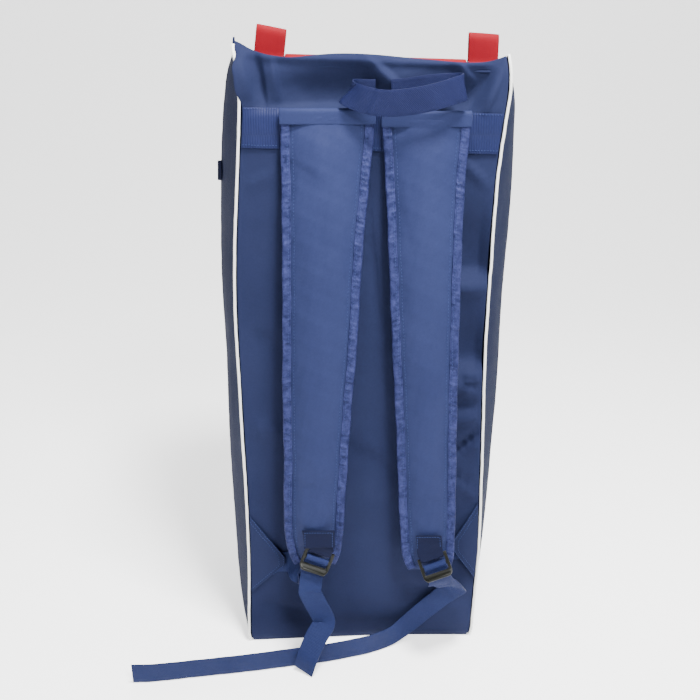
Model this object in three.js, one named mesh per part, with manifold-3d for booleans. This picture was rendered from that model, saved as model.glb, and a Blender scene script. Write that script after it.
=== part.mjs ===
// A cricket kit bag that stands on its end, worn on the back by two padded straps.
// Millimetres, +Z up. The back panel with the straps faces -Y, +X is to its right as one looks at it,
// and the origin is the middle of the base, on the floor.
import * as THREE from "three";
import Module from "manifold-3d";

const wasm = await Module();
wasm.setup();

// Bag body
const BAG_HEIGHT = 788;
const PANEL_WIDTH = 318;
const BAG_DEPTH = 280;
const CLOTH = 2.2;
const SEAM_GAP = 0.4;
const PIPING_DIAMETER = 4.6;
const PIPING_SIDES = 8;

// Shoulder straps
const STRAP_DROP = 0.7513 * BAG_HEIGHT;
const STRAP_WIDTH = 104;
const STRAP_STANDOFF = 26;
const STRAP_TOP_DROP = 0.0761 * BAG_HEIGHT;
const PAD_THICKNESS = 13;
const PAD_FLANGE = 3;
const BINDING_WIDTH = 10;
const BINDING_WALL = 1;

// Webbing
const WEBBING_THICKNESS = 1.6;
const WEBBING_WIDTH = 30;
const BAND_WIDTH = 47;
const BAND_LEAN = 0.024;
const TAB_WIDTH = 38;
const TAB_HEIGHT = 39;
const TAB_GAP = 7;
const TAB_SET_BACK = 110;

// Ladder buckles, measured along the strap from the top bar down
const BUCKLE_WIDTH = 40;
const BUCKLE_RAIL = 4;
const BUCKLE_THICKNESS = 3;
const TOP_BAR = 5;
const UPPER_SLOT = 7;
const MIDDLE_BAR = 4.5;
const LOWER_SLOT = 6.5;
const LIP_BAR = 7.5;
const LIP_RISE = 6;
const BUCKLE_CLEARANCE = 0.4;

// Triangles of cloth that hold the adjusting webbing in the side seams
const CORNER_TAB_BASE = 118;
const CORNER_TAB_CLOTH = 1.8;

// Top end: a zip with a raised cloth flap beside it
const FLAP_WIDTH = 40;
const FLAP_RISE = 7;
const FLAP_CLOTH = 1.6;
const ZIP_SLOT = 12;
const ZIP_CHAIN_HEIGHT = 2.4;
const SLIDER_LENGTH = 13;
const SLIDER_WIDTH = 10;
const SLIDER_HEIGHT = 5;
const PULLER_LENGTH = 26;
const PULLER_WIDTH = 7;
const PULLER_THICKNESS = 1.6;

// Loop of webbing on the left side wall
const SIDE_TAB_WIDTH = 25;
const SIDE_TAB_REACH = 8;

const COLOURS = {
  canvas: 0x1d2b4c,
  pad: 0x2c4170,
  webbing: 0x26326a,
  binding: 0x35448a,
  piping: 0xf1efe8,
  red: 0xc8202b,
  plastic: 0x23241f,
  metal: 0x9a9a9a,
};

// The body from the floor up. The seams are shares of the panel's width from the middle, the bulges and
// the tuck are shares of the depth, and the front bulge is a share of the panel's width.
const SECTIONS = [
  { up: 0.0, left: -0.503, right: 0.49, bulgeLeft: 0.036, bulgeRight: 0.012, bulgeFront: 0.03, tuck: 0.022 },
  { up: 0.012, left: -0.503, right: 0.491, bulgeLeft: 0.072, bulgeRight: 0.02, bulgeFront: 0.045, tuck: 0.006 },
  { up: 0.04, left: -0.5, right: 0.492, bulgeLeft: 0.1, bulgeRight: 0.028, bulgeFront: 0.06, tuck: 0 },
  { up: 0.094, left: -0.497, right: 0.494, bulgeLeft: 0.115, bulgeRight: 0.042, bulgeFront: 0.075, tuck: 0 },
  { up: 0.165, left: -0.494, right: 0.507, bulgeLeft: 0.12, bulgeRight: 0.07, bulgeFront: 0.085, tuck: 0 },
  { up: 0.27, left: -0.494, right: 0.503, bulgeLeft: 0.122, bulgeRight: 0.11, bulgeFront: 0.09, tuck: 0 },
  { up: 0.38, left: -0.5, right: 0.5, bulgeLeft: 0.12, bulgeRight: 0.12, bulgeFront: 0.095, tuck: 0 },
  { up: 0.55, left: -0.509, right: 0.491, bulgeLeft: 0.12, bulgeRight: 0.135, bulgeFront: 0.095, tuck: 0 },
  { up: 0.66, left: -0.509, right: 0.497, bulgeLeft: 0.12, bulgeRight: 0.14, bulgeFront: 0.09, tuck: 0 },
  { up: 0.82, left: -0.484, right: 0.506, bulgeLeft: 0.123, bulgeRight: 0.143, bulgeFront: 0.085, tuck: 0 },
  { up: 0.89, left: -0.47, right: 0.522, bulgeLeft: 0.125, bulgeRight: 0.12, bulgeFront: 0.075, tuck: 0 },
  { up: 0.94, left: -0.462, right: 0.538, bulgeLeft: 0.12, bulgeRight: 0.09, bulgeFront: 0.06, tuck: 0 },
  { up: 0.975, left: -0.466, right: 0.541, bulgeLeft: 0.1, bulgeRight: 0.05, bulgeFront: 0.045, tuck: 0.004 },
  { up: 1.0, left: -0.475, right: 0.541, bulgeLeft: 0.075, bulgeRight: 0.03, bulgeFront: 0.03, tuck: 0.026 },
];

// Hollows (deep above 0) and swells (below 0) of the back panel: the centre across is a share of the
// panel's width and up of the height, wide and tall are shares of the width, deep of the depth.
const DENTS = [
  { across: -0.16, up: 0.953, wide: 0.13, tall: 0.05, deep: 0.045 },
  { across: 0.35, up: 0.945, wide: 0.08, tall: 0.06, deep: 0.036 },
  { across: 0.12, up: 0.968, wide: 0.1, tall: 0.04, deep: -0.018 },
  { across: 0.42, up: 0.74, wide: 0.05, tall: 0.1, deep: 0.036 },
  { across: 0.43, up: 0.67, wide: 0.05, tall: 0.04, deep: -0.016 },
  { across: 0.42, up: 0.6, wide: 0.05, tall: 0.08, deep: 0.03 },
  { across: 0.42, up: 0.34, wide: 0.05, tall: 0.1, deep: 0.026 },
  { across: 0.0, up: 0.3, wide: 0.3, tall: 0.6, deep: -0.014 },
];

// The rim of the back panel: the lift over the nominal height is a share of the height
const RIM = [
  { across: -0.48, lift: 0.028 },
  { across: -0.45, lift: 0.018 },
  { across: -0.41, lift: 0.007 },
  { across: -0.35, lift: 0.0035 },
  { across: -0.28, lift: -0.001 },
  { across: -0.19, lift: 0.003 },
  { across: -0.09, lift: 0.0055 },
  { across: 0.03, lift: 0.004 },
  { across: 0.19, lift: -0.002 },
  { across: 0.27, lift: -0.0045 },
  { across: 0.35, lift: -0.0075 },
  { across: 0.48, lift: -0.006 },
  { across: 0.53, lift: 0.004 },
];

// How the two side walls' rims fall from the back corner (0) to the front one (1)
const SIDE_RIMS = [
  { back: 0.0, left: 0.028, right: 0.004 },
  { back: 0.06, left: 0.012, right: -0.003 },
  { back: 0.15, left: 0.004, right: -0.007 },
  { back: 0.6, left: 0.001, right: -0.011 },
  { back: 1.0, left: 0.004, right: -0.008 },
];

// The straps from their sewn top down: the centre is a share of the panel's width, width of the
// strap's width, out of the strap's stand-off from the panel, pad of the pad's thickness.
const STRAPS = {
  left: [
    { along: 0.0, centre: -0.135, width: 1.04, out: 0.19, pad: 0.42 },
    { along: 0.035, centre: -0.138, width: 1.035, out: 0.21, pad: 0.85 },
    { along: 0.14, centre: -0.146, width: 0.98, out: 0.42, pad: 1 },
    { along: 0.28, centre: -0.159, width: 0.912, out: 0.72, pad: 1 },
    { along: 0.49, centre: -0.173, width: 0.862, out: 0.98, pad: 1 },
    { along: 0.6, centre: -0.184, width: 0.821, out: 1.08, pad: 1 },
    { along: 0.75, centre: -0.193, width: 0.76, out: 1.2, pad: 1 },
    { along: 0.86, centre: -0.202, width: 0.741, out: 1.27, pad: 1 },
    { along: 0.94, centre: -0.204, width: 0.69, out: 1.2, pad: 1 },
    { along: 0.975, centre: -0.203, width: 0.62, out: 1.1, pad: 0.72 },
    { along: 1.0, centre: -0.203, width: 0.5, out: 0.98, pad: 0.3 },
  ],
  right: [
    { along: 0.0, centre: 0.231, width: 0.97, out: 0.19, pad: 0.42 },
    { along: 0.035, centre: 0.23, width: 0.96, out: 0.21, pad: 0.85 },
    { along: 0.14, centre: 0.23, width: 0.883, out: 0.4, pad: 1 },
    { along: 0.28, centre: 0.234, width: 0.826, out: 0.68, pad: 1 },
    { along: 0.49, centre: 0.244, width: 0.766, out: 0.9, pad: 1 },
    { along: 0.67, centre: 0.256, width: 0.718, out: 0.98, pad: 1 },
    { along: 0.86, centre: 0.268, width: 0.687, out: 1.08, pad: 1 },
    { along: 0.94, centre: 0.273, width: 0.655, out: 1.24, pad: 1 },
    { along: 0.975, centre: 0.276, width: 0.61, out: 1.36, pad: 0.72 },
    { along: 1.0, centre: 0.278, width: 0.5, out: 1.46, pad: 0.3 },
  ],
};

// The buckles on the straps' ends. at is a share of the strap's length, shift of the panel's width; turn
// is in the buckle's own plane, with its right side going down, and pitch swings its lip out, in degrees.
const BUCKLES = {
  left: { at: 0.943, shift: 0.03, turn: 22, pitch: 12 },
  right: { at: 0.957, shift: 0.01, turn: -20, pitch: 15 },
};

// The webbing's stations outside the buckles. across is a share of the panel's width from the middle,
// out (from the back panel) is in webbing widths, and up is a share of the buckle's height over the
// floor; wx, wo and wz are the direction of the webbing's width, to the right, out and up.
const ANCHOR_ENDS = {
  left: [
    { across: -0.41, out: 0.06, up: 0.720, wx: -0.1, wo: 0.0, wz: 1 },
    { across: -0.37, out: 0.06, up: 0.729, wx: 0.0, wo: 0.0, wz: 1 },
    { across: -0.33, out: 0.09, up: 0.735, wx: 0.1, wo: 0.0, wz: 1 },
    { across: -0.304, out: 0.42, up: 0.748, wx: 0.4, wo: 0.0, wz: 0.92 },
    { across: -0.275, out: 0.92, up: 0.742, wx: 0.7, wo: 0.0, wz: 0.7 },
    { across: -0.236, out: 1.24, up: 0.746, wx: 0.95, wo: 0.0, wz: 0.2 },
  ],
  right: [
    { across: 0.44, out: 0.065, up: 0.888, wx: -0.1, wo: 0.0, wz: -1 },
    { across: 0.405, out: 0.065, up: 0.880, wx: 0.0, wo: 0.0, wz: -1 },
    { across: 0.37, out: 0.09, up: 0.869, wx: 0.15, wo: 0.0, wz: -1 },
    { across: 0.348, out: 0.5, up: 0.832, wx: 0.5, wo: 0.0, wz: -0.86 },
    { across: 0.333, out: 1.05, up: 0.758, wx: 0.85, wo: 0.0, wz: -0.5 },
    { across: 0.322, out: 1.62, up: 0.721, wx: 0.98, wo: 0.0, wz: 0.1 },
  ],
};
const TAILS = {
  left: [
    { across: -0.2215, out: 1.9, up: 0.672, wx: 0.98, wo: 0.05, wz: -0.15 },
    { across: -0.19, out: 1.72, up: 0.507, wx: 0.96, wo: 0.0, wz: 0.25 },
    { across: -0.162, out: 1.62, up: 0.359, wx: 0.97, wo: 0.05, wz: 0.2 },
    { across: -0.196, out: 2.1, up: 0.288, wx: 0.9, wo: 0.38, wz: -0.1 },
    { across: -0.232, out: 2.66, up: 0.171, wx: 0.82, wo: 0.5, wz: -0.12 },
    { across: -0.252, out: 2.82, up: 0.023, wx: 0.8, wo: 0.52, wz: -0.1 },
  ],
  right: [
    { across: 0.34, out: 1.52, up: 0.751, wx: 0.9, wo: 0.2, wz: 0.36 },
    { across: 0.388, out: 1.1, up: 0.670, wx: 0.6, wo: 0.55, wz: 0.6 },
    { across: 0.428, out: 0.62, up: 0.577, wx: 0.2, wo: 0.5, wz: 0.85 },
    { across: 0.436, out: 0.3, up: 0.533, wx: -0.35, wo: 0.1, wz: 0.93 },
    { across: 0.4, out: 0.16, up: 0.510, wx: -0.66, wo: 0.0, wz: 0.75 },
    { across: 0.35, out: 0.16, up: 0.436, wx: -0.68, wo: 0.0, wz: 0.73 },
    { across: 0.272, out: 0.18, up: 0.300, wx: -0.66, wo: 0.04, wz: 0.75 },
    { across: 0.2, out: 0.3, up: 0.178, wx: -0.45, wo: 0.05, wz: 0.89 },
    { across: 0.13, out: 0.7, up: 0.107, wx: -0.12, wo: 0.05, wz: 0.99 },
    { across: 0.04, out: 1.25, up: 0.100, wx: 0.0, wo: 0.08, wz: 1 },
    { across: -0.05, out: 1.6, up: 0.100, wx: 0.0, wo: 0.1, wz: 1 },
    { across: -0.17, out: 1.98, up: 0.100, wx: 0.0, wo: 0.1, wz: 1 },
    { across: -0.29, out: 2.24, up: 0.100, wx: 0.0, wo: 0.12, wz: 1 },
    { across: -0.48, out: 2.66, up: 0.100, wx: 0.0, wo: 0.14, wz: 1 },
    { across: -0.7, out: 3.06, up: 0.100, wx: 0.0, wo: 0.16, wz: 1 },
    { across: -0.86, out: 3.34, up: 0.100, wx: 0.0, wo: 0.14, wz: 1 },
    { across: -0.955, out: 3.4, up: 0.100, wx: 0.0, wo: 0.12, wz: 1 },
  ],
};

// The corner tabs: low is a share of the height, reach of the panel's width, and point of the tab's base
const CORNER_TABS = {
  left: { low: 0.0965, reach: 0.152, point: 0.4 },
  right: { low: 0.123, reach: 0.113, point: 0.42 },
};

// The two loops of the top end: their middle's distance from the seam and the shift of their tips are in
// tab widths, and tilt is that of the tip's width
const END_TABS = {
  left: { inward: 0.71, shift: 0.13, tilt: -0.2 },
  right: { inward: 0.44, shift: 0.0, tilt: -0.08 },
};

// The grab handle, from its sewn end behind the straps' tops round to its other sewn end. out and up
// are in webbing widths, up from the top edge of the band.
const HANDLE = [
  { across: 0.04, out: 0.14, up: 0.68, wx: 0.0, wo: 0.0, wz: 1, wide: 1 },
  { across: 0.005, out: 0.22, up: 0.68, wx: 0.12, wo: 0.0, wz: 0.99, wide: 1 },
  { across: -0.035, out: 0.36, up: 0.7, wx: 0.5, wo: 0.0, wz: 0.86, wide: 1.05 },
  { across: -0.06, out: 0.62, up: 0.68, wx: 0.7, wo: 0.0, wz: 0.71, wide: 1.15 },
  { across: -0.022, out: 0.86, up: 0.5, wx: 0.35, wo: 0.02, wz: 0.93, wide: 1.05 },
  { across: 0.06, out: 0.98, up: 0.32, wx: 0.0, wo: 0.06, wz: 1, wide: 1 },
  { across: 0.15, out: 1.06, up: 0.36, wx: -0.06, wo: 0.1, wz: 0.99, wide: 1 },
  { across: 0.25, out: 1.14, up: 0.55, wx: -0.16, wo: 0.12, wz: 0.98, wide: 1 },
  { across: 0.335, out: 1.12, up: 0.8, wx: -0.2, wo: 0.1, wz: 0.97, wide: 1 },
  { across: 0.362, out: 0.86, up: 0.9, wx: -0.2, wo: 0.02, wz: 0.98, wide: 1 },
  { across: 0.33, out: 0.6, up: 0.92, wx: -0.18, wo: 0.0, wz: 0.98, wide: 1 },
  { across: 0.24, out: 0.36, up: 0.86, wx: -0.1, wo: 0.0, wz: 0.99, wide: 1 },
  { across: 0.16, out: 0.16, up: 0.74, wx: 0.0, wo: 0.0, wz: 1, wide: 1 },
  { across: 0.1, out: 0.12, up: 0.68, wx: 0.0, wo: 0.0, wz: 1, wide: 1 },
];

// Numbers from tables

// A smooth curve through the rows of a table, from one named column to another.
function follow(rows, from, to) {
  const slope = (i) => {
    const low = rows[Math.max(i - 1, 0)];
    const high = rows[Math.min(i + 1, rows.length - 1)];
    return (high[to] - low[to]) / (high[from] - low[from]);
  };
  return (value) => {
    const at = THREE.MathUtils.clamp(value, rows[0][from], rows.at(-1)[from]);
    let i = 0;
    while (i < rows.length - 2 && at > rows[i + 1][from]) i += 1;
    const span = rows[i + 1][from] - rows[i][from];
    const t = (at - rows[i][from]) / span;
    const held = 2 * t ** 3 - 3 * t ** 2 + 1;
    const leave = t ** 3 - 2 * t ** 2 + t;
    const arrive = t ** 3 - t ** 2;
    return (
      held * rows[i][to] +
      (1 - held) * rows[i + 1][to] +
      span * (leave * slope(i) + arrive * slope(i + 1))
    );
  };
}

const seamLeft = follow(SECTIONS, "up", "left");
const seamRight = follow(SECTIONS, "up", "right");
const bulgeLeft = follow(SECTIONS, "up", "bulgeLeft");
const bulgeRight = follow(SECTIONS, "up", "bulgeRight");
const bulgeFront = follow(SECTIONS, "up", "bulgeFront");
const tuck = follow(SECTIONS, "up", "tuck");
const rimLift = follow(RIM, "across", "lift");
const leftRim = follow(SIDE_RIMS, "back", "left");
const rightRim = follow(SIDE_RIMS, "back", "right");

// Solids

// An indexed geometry turned so that its faces point out.
function closedGeometry(points, faces) {
  let volume = 0;
  for (const [a, b, c] of faces) {
    volume += points[a].dot(points[b].clone().cross(points[c]));
  }
  const turned = volume < 0 ? faces.map(([a, b, c]) => [a, c, b]) : faces;
  const geometry = new THREE.BufferGeometry().setFromPoints(points);
  geometry.setIndex(turned.flat());
  geometry.computeVertexNormals();
  return geometry;
}

// A wall between two grids of points, each made by a function of row and column.
function wall(rows, columns, outer, inner) {
  const points = [];
  for (const side of [outer, inner]) {
    for (let i = 0; i <= rows; i += 1) {
      for (let j = 0; j <= columns; j += 1) points.push(side(i, j));
    }
  }
  const sheet = (rows + 1) * (columns + 1);
  const at = (i, j, layer) => layer * sheet + i * (columns + 1) + j;
  const faces = [];
  const quad = (a, b, c, d) => faces.push([a, b, c], [a, c, d]);
  for (let i = 0; i < rows; i += 1) {
    for (let j = 0; j < columns; j += 1) {
      quad(at(i, j, 0), at(i, j + 1, 0), at(i + 1, j + 1, 0), at(i + 1, j, 0));
      quad(at(i, j, 1), at(i + 1, j, 1), at(i + 1, j + 1, 1), at(i, j + 1, 1));
    }
  }
  for (let j = 0; j < columns; j += 1) {
    quad(at(0, j, 1), at(0, j + 1, 1), at(0, j + 1, 0), at(0, j, 0));
    quad(at(rows, j, 0), at(rows, j + 1, 0), at(rows, j + 1, 1), at(rows, j, 1));
  }
  for (let i = 0; i < rows; i += 1) {
    quad(at(i, 0, 0), at(i + 1, 0, 0), at(i + 1, 0, 1), at(i, 0, 1));
    quad(at(i, columns, 1), at(i + 1, columns, 1), at(i + 1, columns, 0), at(i, columns, 0));
  }
  return closedGeometry(points, faces);
}

// A wall of even thickness inside a surface of two shares, at the given stations along each.
function wallInside(surface, ups, acrosses, thickness) {
  const step = 1e-3;
  const within = (value) => THREE.MathUtils.clamp(value, 0, 1);
  const normal = (s, t) => {
    const alongS = surface(within(s + step), t).sub(surface(within(s - step), t));
    const alongT = surface(s, within(t + step)).sub(surface(s, within(t - step)));
    return alongS.cross(alongT).normalize();
  };
  const outer = (i, j) => surface(acrosses[j], ups[i]);
  const inner = (i, j) => outer(i, j).addScaledVector(normal(acrosses[j], ups[i]), -thickness);
  return wall(ups.length - 1, acrosses.length - 1, outer, inner);
}

// A solid through rings of points that all follow one flat profile.
function loft(rings, profile) {
  const count = profile.length;
  const faces = [];
  for (let i = 0; i + 1 < rings.length; i += 1) {
    for (let j = 0; j < count; j += 1) {
      const next = (j + 1) % count;
      const [a, b] = [i * count + j, i * count + next];
      faces.push([a, b, b + count], [a, b + count, a + count]);
    }
  }
  const last = (rings.length - 1) * count;
  for (const [a, b, c] of THREE.ShapeUtils.triangulateShape(profile, [])) {
    faces.push([a, c, b], [last + a, last + b, last + c]);
  }
  return closedGeometry(rings.flat(), faces);
}

// Flat webbing through stations, each with a point, the direction of its width and a share of it.
// A held station keeps its width's direction, as where a buckle's bar holds the webbing flat.
function webbing(stations, width, steps) {
  const centre = new THREE.CatmullRomCurve3(stations.map((s) => s.point), false, "catmullrom", 0.5);
  const side = new THREE.CatmullRomCurve3(stations.map((s) => s.width), false, "catmullrom", 0.5);
  const wide = new THREE.CatmullRomCurve3(
    stations.map((s) => new THREE.Vector3(s.wide ?? 1, 0, 0)),
    false,
    "catmullrom",
    0.5,
  );
  const corners = [[-1, -1], [1, -1], [1, 1], [-1, 1]];
  const profile = corners.map(([a, b]) => new THREE.Vector2(a, b));
  const rings = [];
  for (let i = 0; i <= steps; i += 1) {
    const t = i / steps;
    const point = centre.getPoint(t);
    const tangent = centre.getPoint(Math.min(t + 1e-3, 1)).sub(centre.getPoint(Math.max(t - 1e-3, 0)));
    tangent.normalize();
    const across = side.getPoint(t);
    if (!stations[Math.round(t * (stations.length - 1))].held) {
      across.addScaledVector(tangent, -across.dot(tangent));
    }
    across.normalize();
    const normal = tangent.clone().cross(across).normalize();
    const half = (width * wide.getPoint(t).x) / 2;
    rings.push(
      corners.map(([a, b]) =>
        point
          .clone()
          .addScaledVector(across, a * half)
          .addScaledVector(normal, (b * WEBBING_THICKNESS) / 2),
      ),
    );
  }
  return loft(rings, profile);
}

function extruded(points, depth) {
  const shape = new THREE.Shape(points.map(([x, y]) => new THREE.Vector2(x, y)));
  return new THREE.ExtrudeGeometry(shape, { depth, bevelEnabled: false });
}

function steps(count) {
  return Array.from({ length: count + 1 }, (_, i) => i / count);
}

// The heights that all walls and both runs of piping share, finer near the two rounded ends.
const UPS = [
  0, 0.006, 0.014, 0.03, 0.06, 0.12, 0.2, 0.28, 0.36, 0.44, 0.52, 0.6, 0.67, 0.73, 0.79, 0.85, 0.9, 0.935, 0.96,
  0.978, 0.99, 1,
];

// The body's surfaces

const toSolidY = (out) => -BAG_DEPTH / 2 - out;

// The lift of the rim only works on the top of a wall.
function heightAt(up, lift) {
  const ramp = THREE.MathUtils.smoothstep(up, 0.93, 1);
  return BAG_HEIGHT * (up + lift * ramp);
}

function dentAt(x, up) {
  return DENTS.reduce((sum, dent) => {
    const a = (x / PANEL_WIDTH - dent.across) / dent.wide;
    const b = ((up - dent.up) * BAG_HEIGHT) / PANEL_WIDTH / dent.tall;
    return sum + dent.deep * BAG_DEPTH * Math.exp(-(a * a + b * b));
  }, 0);
}

// The seams' places across, which draw in with the rounded ends.
const seamX = {
  left: (up) => seamLeft(up) * PANEL_WIDTH + (tuck(up) * BAG_DEPTH) / 2,
  right: (up) => seamRight(up) * PANEL_WIDTH - (tuck(up) * BAG_DEPTH) / 2,
};

// The back panel's outer face, with its dents fading out at its seams.
function backY(x, up) {
  const share = (x - seamX.left(up)) / (seamX.right(up) - seamX.left(up));
  const free = Math.min(1, Math.max(0, 12 * share * (1 - share)));
  const fade = THREE.MathUtils.smoothstep(1 - up, 0, 0.03) * THREE.MathUtils.smoothstep(up, 0, 0.05);
  return -BAG_DEPTH / 2 + tuck(up) * BAG_DEPTH + dentAt(x, up) * free * fade;
}

function backSurface(share, up) {
  const x = THREE.MathUtils.lerp(seamX.left(up), seamX.right(up), share);
  return new THREE.Vector3(x, backY(x, up), heightAt(up, rimLift(x / PANEL_WIDTH)));
}

function frontSurface(share, up) {
  const x = THREE.MathUtils.lerp(seamX.right(up), seamX.left(up), share);
  const swell = bulgeFront(up) * PANEL_WIDTH * 4 * share * (1 - share);
  const y = BAG_DEPTH / 2 - tuck(up) * BAG_DEPTH + swell;
  const lift = rightRim(1) + (leftRim(1) - rightRim(1)) * share;
  return new THREE.Vector3(x, y, heightAt(up, lift));
}

// A side wall: from is the share of the depth, from the back seam to the front one.
function sideSurface(side) {
  const sign = side === "left" ? -1 : 1;
  const bulge = side === "left" ? bulgeLeft : bulgeRight;
  const rim = side === "left" ? leftRim : rightRim;
  return (share, up) => {
    const inset = tuck(up) * BAG_DEPTH;
    const y = THREE.MathUtils.lerp(-BAG_DEPTH / 2 + inset, BAG_DEPTH / 2 - inset, share);
    const swell = bulge(up) * BAG_DEPTH * 4 * share * (1 - share);
    return new THREE.Vector3(seamX[side](up) + sign * swell, y, heightAt(up, rim(share)));
  };
}

const leftSurface = sideSurface("left");
const rightSurface = sideSurface("right");

// Material and naming

const bag = new THREE.Group();

function add(name, geometry, colour, roughness = 0.85, metalness = 0) {
  const material = new THREE.MeshStandardMaterial({ color: COLOURS[colour], roughness, metalness });
  const mesh = new THREE.Mesh(geometry, material);
  mesh.name = name;
  bag.add(mesh);
  return mesh;
}

// Walls of the bag

// Both back seams leave room for the piping.
const besidePiping = PIPING_DIAMETER / 2 + SEAM_GAP;

function makeBackPanel() {
  const edge = (1.15 * besidePiping) / PANEL_WIDTH;
  const across = steps(18).map((t) => edge + t * (1 - 2 * edge));
  add("back_panel", wallInside(backSurface, UPS, across, CLOTH), "canvas");
}

function makeFrontPanel() {
  add("front_panel", wallInside(frontSurface, UPS, steps(7), CLOTH), "canvas");
}

function makeSideWalls() {
  const nearBack = (1.15 * besidePiping) / BAG_DEPTH;
  const nearFront = (1.2 * CLOTH + SEAM_GAP) / BAG_DEPTH;
  const depth = steps(8).map((t) => nearBack + t * (1 - nearBack - nearFront));
  const mirrored = (share, up) => leftSurface(1 - share, up);
  const mirroredDepth = depth.map((d) => 1 - d).reverse();
  add("gusset_left", wallInside(mirrored, UPS, mirroredDepth, CLOTH), "canvas");
  add("gusset_right", wallInside(rightSurface, UPS, depth, CLOTH), "canvas");
}

// An end between the walls, from one place in y to another, or to the wall where that is null. height
// gives the upper face for x and y.
function endPanel(up, fromY, toY, height, across, along) {
  const inset = CLOTH + 2.6 * SEAM_GAP;
  const point = (s, t, drop) => {
    const middleX = THREE.MathUtils.lerp(seamX.left(up), seamX.right(up), s);
    const back = fromY ?? backY(middleX, up) + inset;
    const front = toY ?? frontSurface(1 - s, up).y - inset;
    const y = THREE.MathUtils.lerp(back, front, t);
    const share = THREE.MathUtils.clamp((y + BAG_DEPTH / 2) / BAG_DEPTH, 0, 1);
    const x = THREE.MathUtils.lerp(leftSurface(share, up).x + inset, rightSurface(share, up).x - inset, s);
    return new THREE.Vector3(x, y, height(x, y) - drop);
  };
  const shareS = steps(across);
  const shareT = steps(along);
  return wall(
    along,
    across,
    (i, j) => point(shareS[j], shareT[i], 0),
    (i, j) => point(shareS[j], shareT[i], CLOTH),
  );
}

// The top end sits just under the rim and leans with it, and rises to a ridge along the zip.
function topHeight(x, y) {
  const lean = THREE.MathUtils.lerp(leftRim(0.6), rightRim(0.6), x / PANEL_WIDTH + 0.5);
  const ridge = 1 - Math.min(1, Math.abs(y - zipY) / (BAG_DEPTH / 3));
  return BAG_HEIGHT * (1 + lean) - FLAP_RISE + FLAP_RISE * 0.6 * ridge;
}

const zipY = -BAG_DEPTH / 2 + TAB_SET_BACK + FLAP_WIDTH / 2;

function makeEndPanels() {
  add("base_panel", endPanel(0, null, null, () => CLOTH, 6, 4), "canvas");
  const up = 1 - (0.4 * FLAP_RISE) / BAG_HEIGHT;
  add("top_panel_back", endPanel(up, null, zipY - ZIP_SLOT / 2, topHeight, 8, 4), "canvas");
  add("top_panel_front", endPanel(up, zipY + ZIP_SLOT / 2, null, topHeight, 8, 4), "canvas");
}

// White piping in the two back seams

function makePiping(side) {
  const rim = side === "left" ? leftRim : rightRim;
  const circle = steps(PIPING_SIDES)
    .slice(0, -1)
    .map((t) => {
      const turn = 2 * Math.PI * t;
      const radius = PIPING_DIAMETER / 2;
      return new THREE.Vector2(radius * Math.cos(turn), radius * Math.sin(turn));
    });
  const rings = UPS.map((up) => {
    const y = -BAG_DEPTH / 2 + tuck(up) * BAG_DEPTH;
    const z = heightAt(up, rim(0));
    return circle.map((p) => new THREE.Vector3(seamX[side](up) + p.x, y + p.y, z));
  });
  add(`piping_${side}`, loft(rings, circle), "piping", 0.6);
}

// Band of webbing across the back panel, under the straps' tops

function onBackPanel(x, z, out) {
  return new THREE.Vector3(x, backY(x, z / BAG_HEIGHT) - out, z);
}

const bandTop = (x) => BAG_HEIGHT - STRAP_TOP_DROP - BAND_LEAN * x;

function makeBand() {
  const columns = steps(18);
  const rows = steps(3);
  const place = (i, j, out) => {
    const start = -PANEL_WIDTH / 2 + PANEL_WIDTH * columns[j];
    const z = bandTop(start) - BAND_WIDTH * (1 - rows[i]);
    const left = seamX.left(z / BAG_HEIGHT) + 1.5 * besidePiping;
    const right = seamX.right(z / BAG_HEIGHT) - 1.5 * besidePiping;
    return onBackPanel(THREE.MathUtils.lerp(left, right, columns[j]), z, out);
  };
  const gap = 2 * SEAM_GAP;
  const geometry = wall(
    3,
    18,
    (i, j) => place(i, j, gap + WEBBING_THICKNESS),
    (i, j) => place(i, j, gap),
  );
  add("anchor_band", geometry, "webbing");
}

// Shoulder straps

const strapColumns = Object.fromEntries(
  Object.entries(STRAPS).map(([side, rows]) => [
    side,
    Object.fromEntries(
      ["centre", "width", "out", "pad"].map((name) => [name, follow(rows, "along", name)]),
    ),
  ]),
);

function strapCentre(side, along) {
  const columns = strapColumns[side];
  const x = columns.centre(along) * PANEL_WIDTH;
  const z = bandTop(strapColumns[side].centre(0) * PANEL_WIDTH) - along * STRAP_DROP;
  return new THREE.Vector3(x, toSolidY(columns.out(along) * STRAP_STANDOFF), z);
}

// The strap's own directions at a point: down its length, to the right, and out of its face.
function strapFrame(side, along) {
  const low = strapCentre(side, Math.min(along + 0.01, 1));
  const down = low.sub(strapCentre(side, Math.max(along - 0.01, 0)));
  down.x = 0;
  down.normalize();
  const right = new THREE.Vector3(1, 0, 0);
  return { down, right, out: right.clone().cross(down).negate().normalize() };
}

// across runs from -0.5 to 0.5 of the strap's width, and out is measured from its back face.
function onStrap(side, along, across, out) {
  const { right, out: outward } = strapFrame(side, along);
  const width = strapColumns[side].width(along) * STRAP_WIDTH;
  return strapCentre(side, along)
    .addScaledVector(right, across * width)
    .addScaledVector(outward, out);
}

// The edge that the binding holds, and the crown of the padding between the two edges.
const boundEdge = BINDING_WIDTH + 2 * SEAM_GAP;

function halfWidth(side, along) {
  return (strapColumns[side].width(along) * STRAP_WIDTH) / 2;
}

// in runs from 0 where the binding stops to 1 at the strap's middle.
function padThickness(side, along, inward) {
  const full = strapColumns[side].pad(along) * PAD_THICKNESS;
  return PAD_FLANGE + Math.max(0, full - PAD_FLANGE) * Math.sin((Math.min(1, inward * 1.4) * Math.PI) / 2);
}

const strapStations = [
  0, 0.012, 0.03, 0.07, 0.14, 0.22, 0.31, 0.4, 0.49, 0.58, 0.67, 0.76, 0.84, 0.9, 0.94, 0.965, 0.985, 1,
];
const padRows = [null, 0, 0.16, 0.4, 0.7, 1, 0.7, 0.4, 0.16, 0, null];

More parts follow.
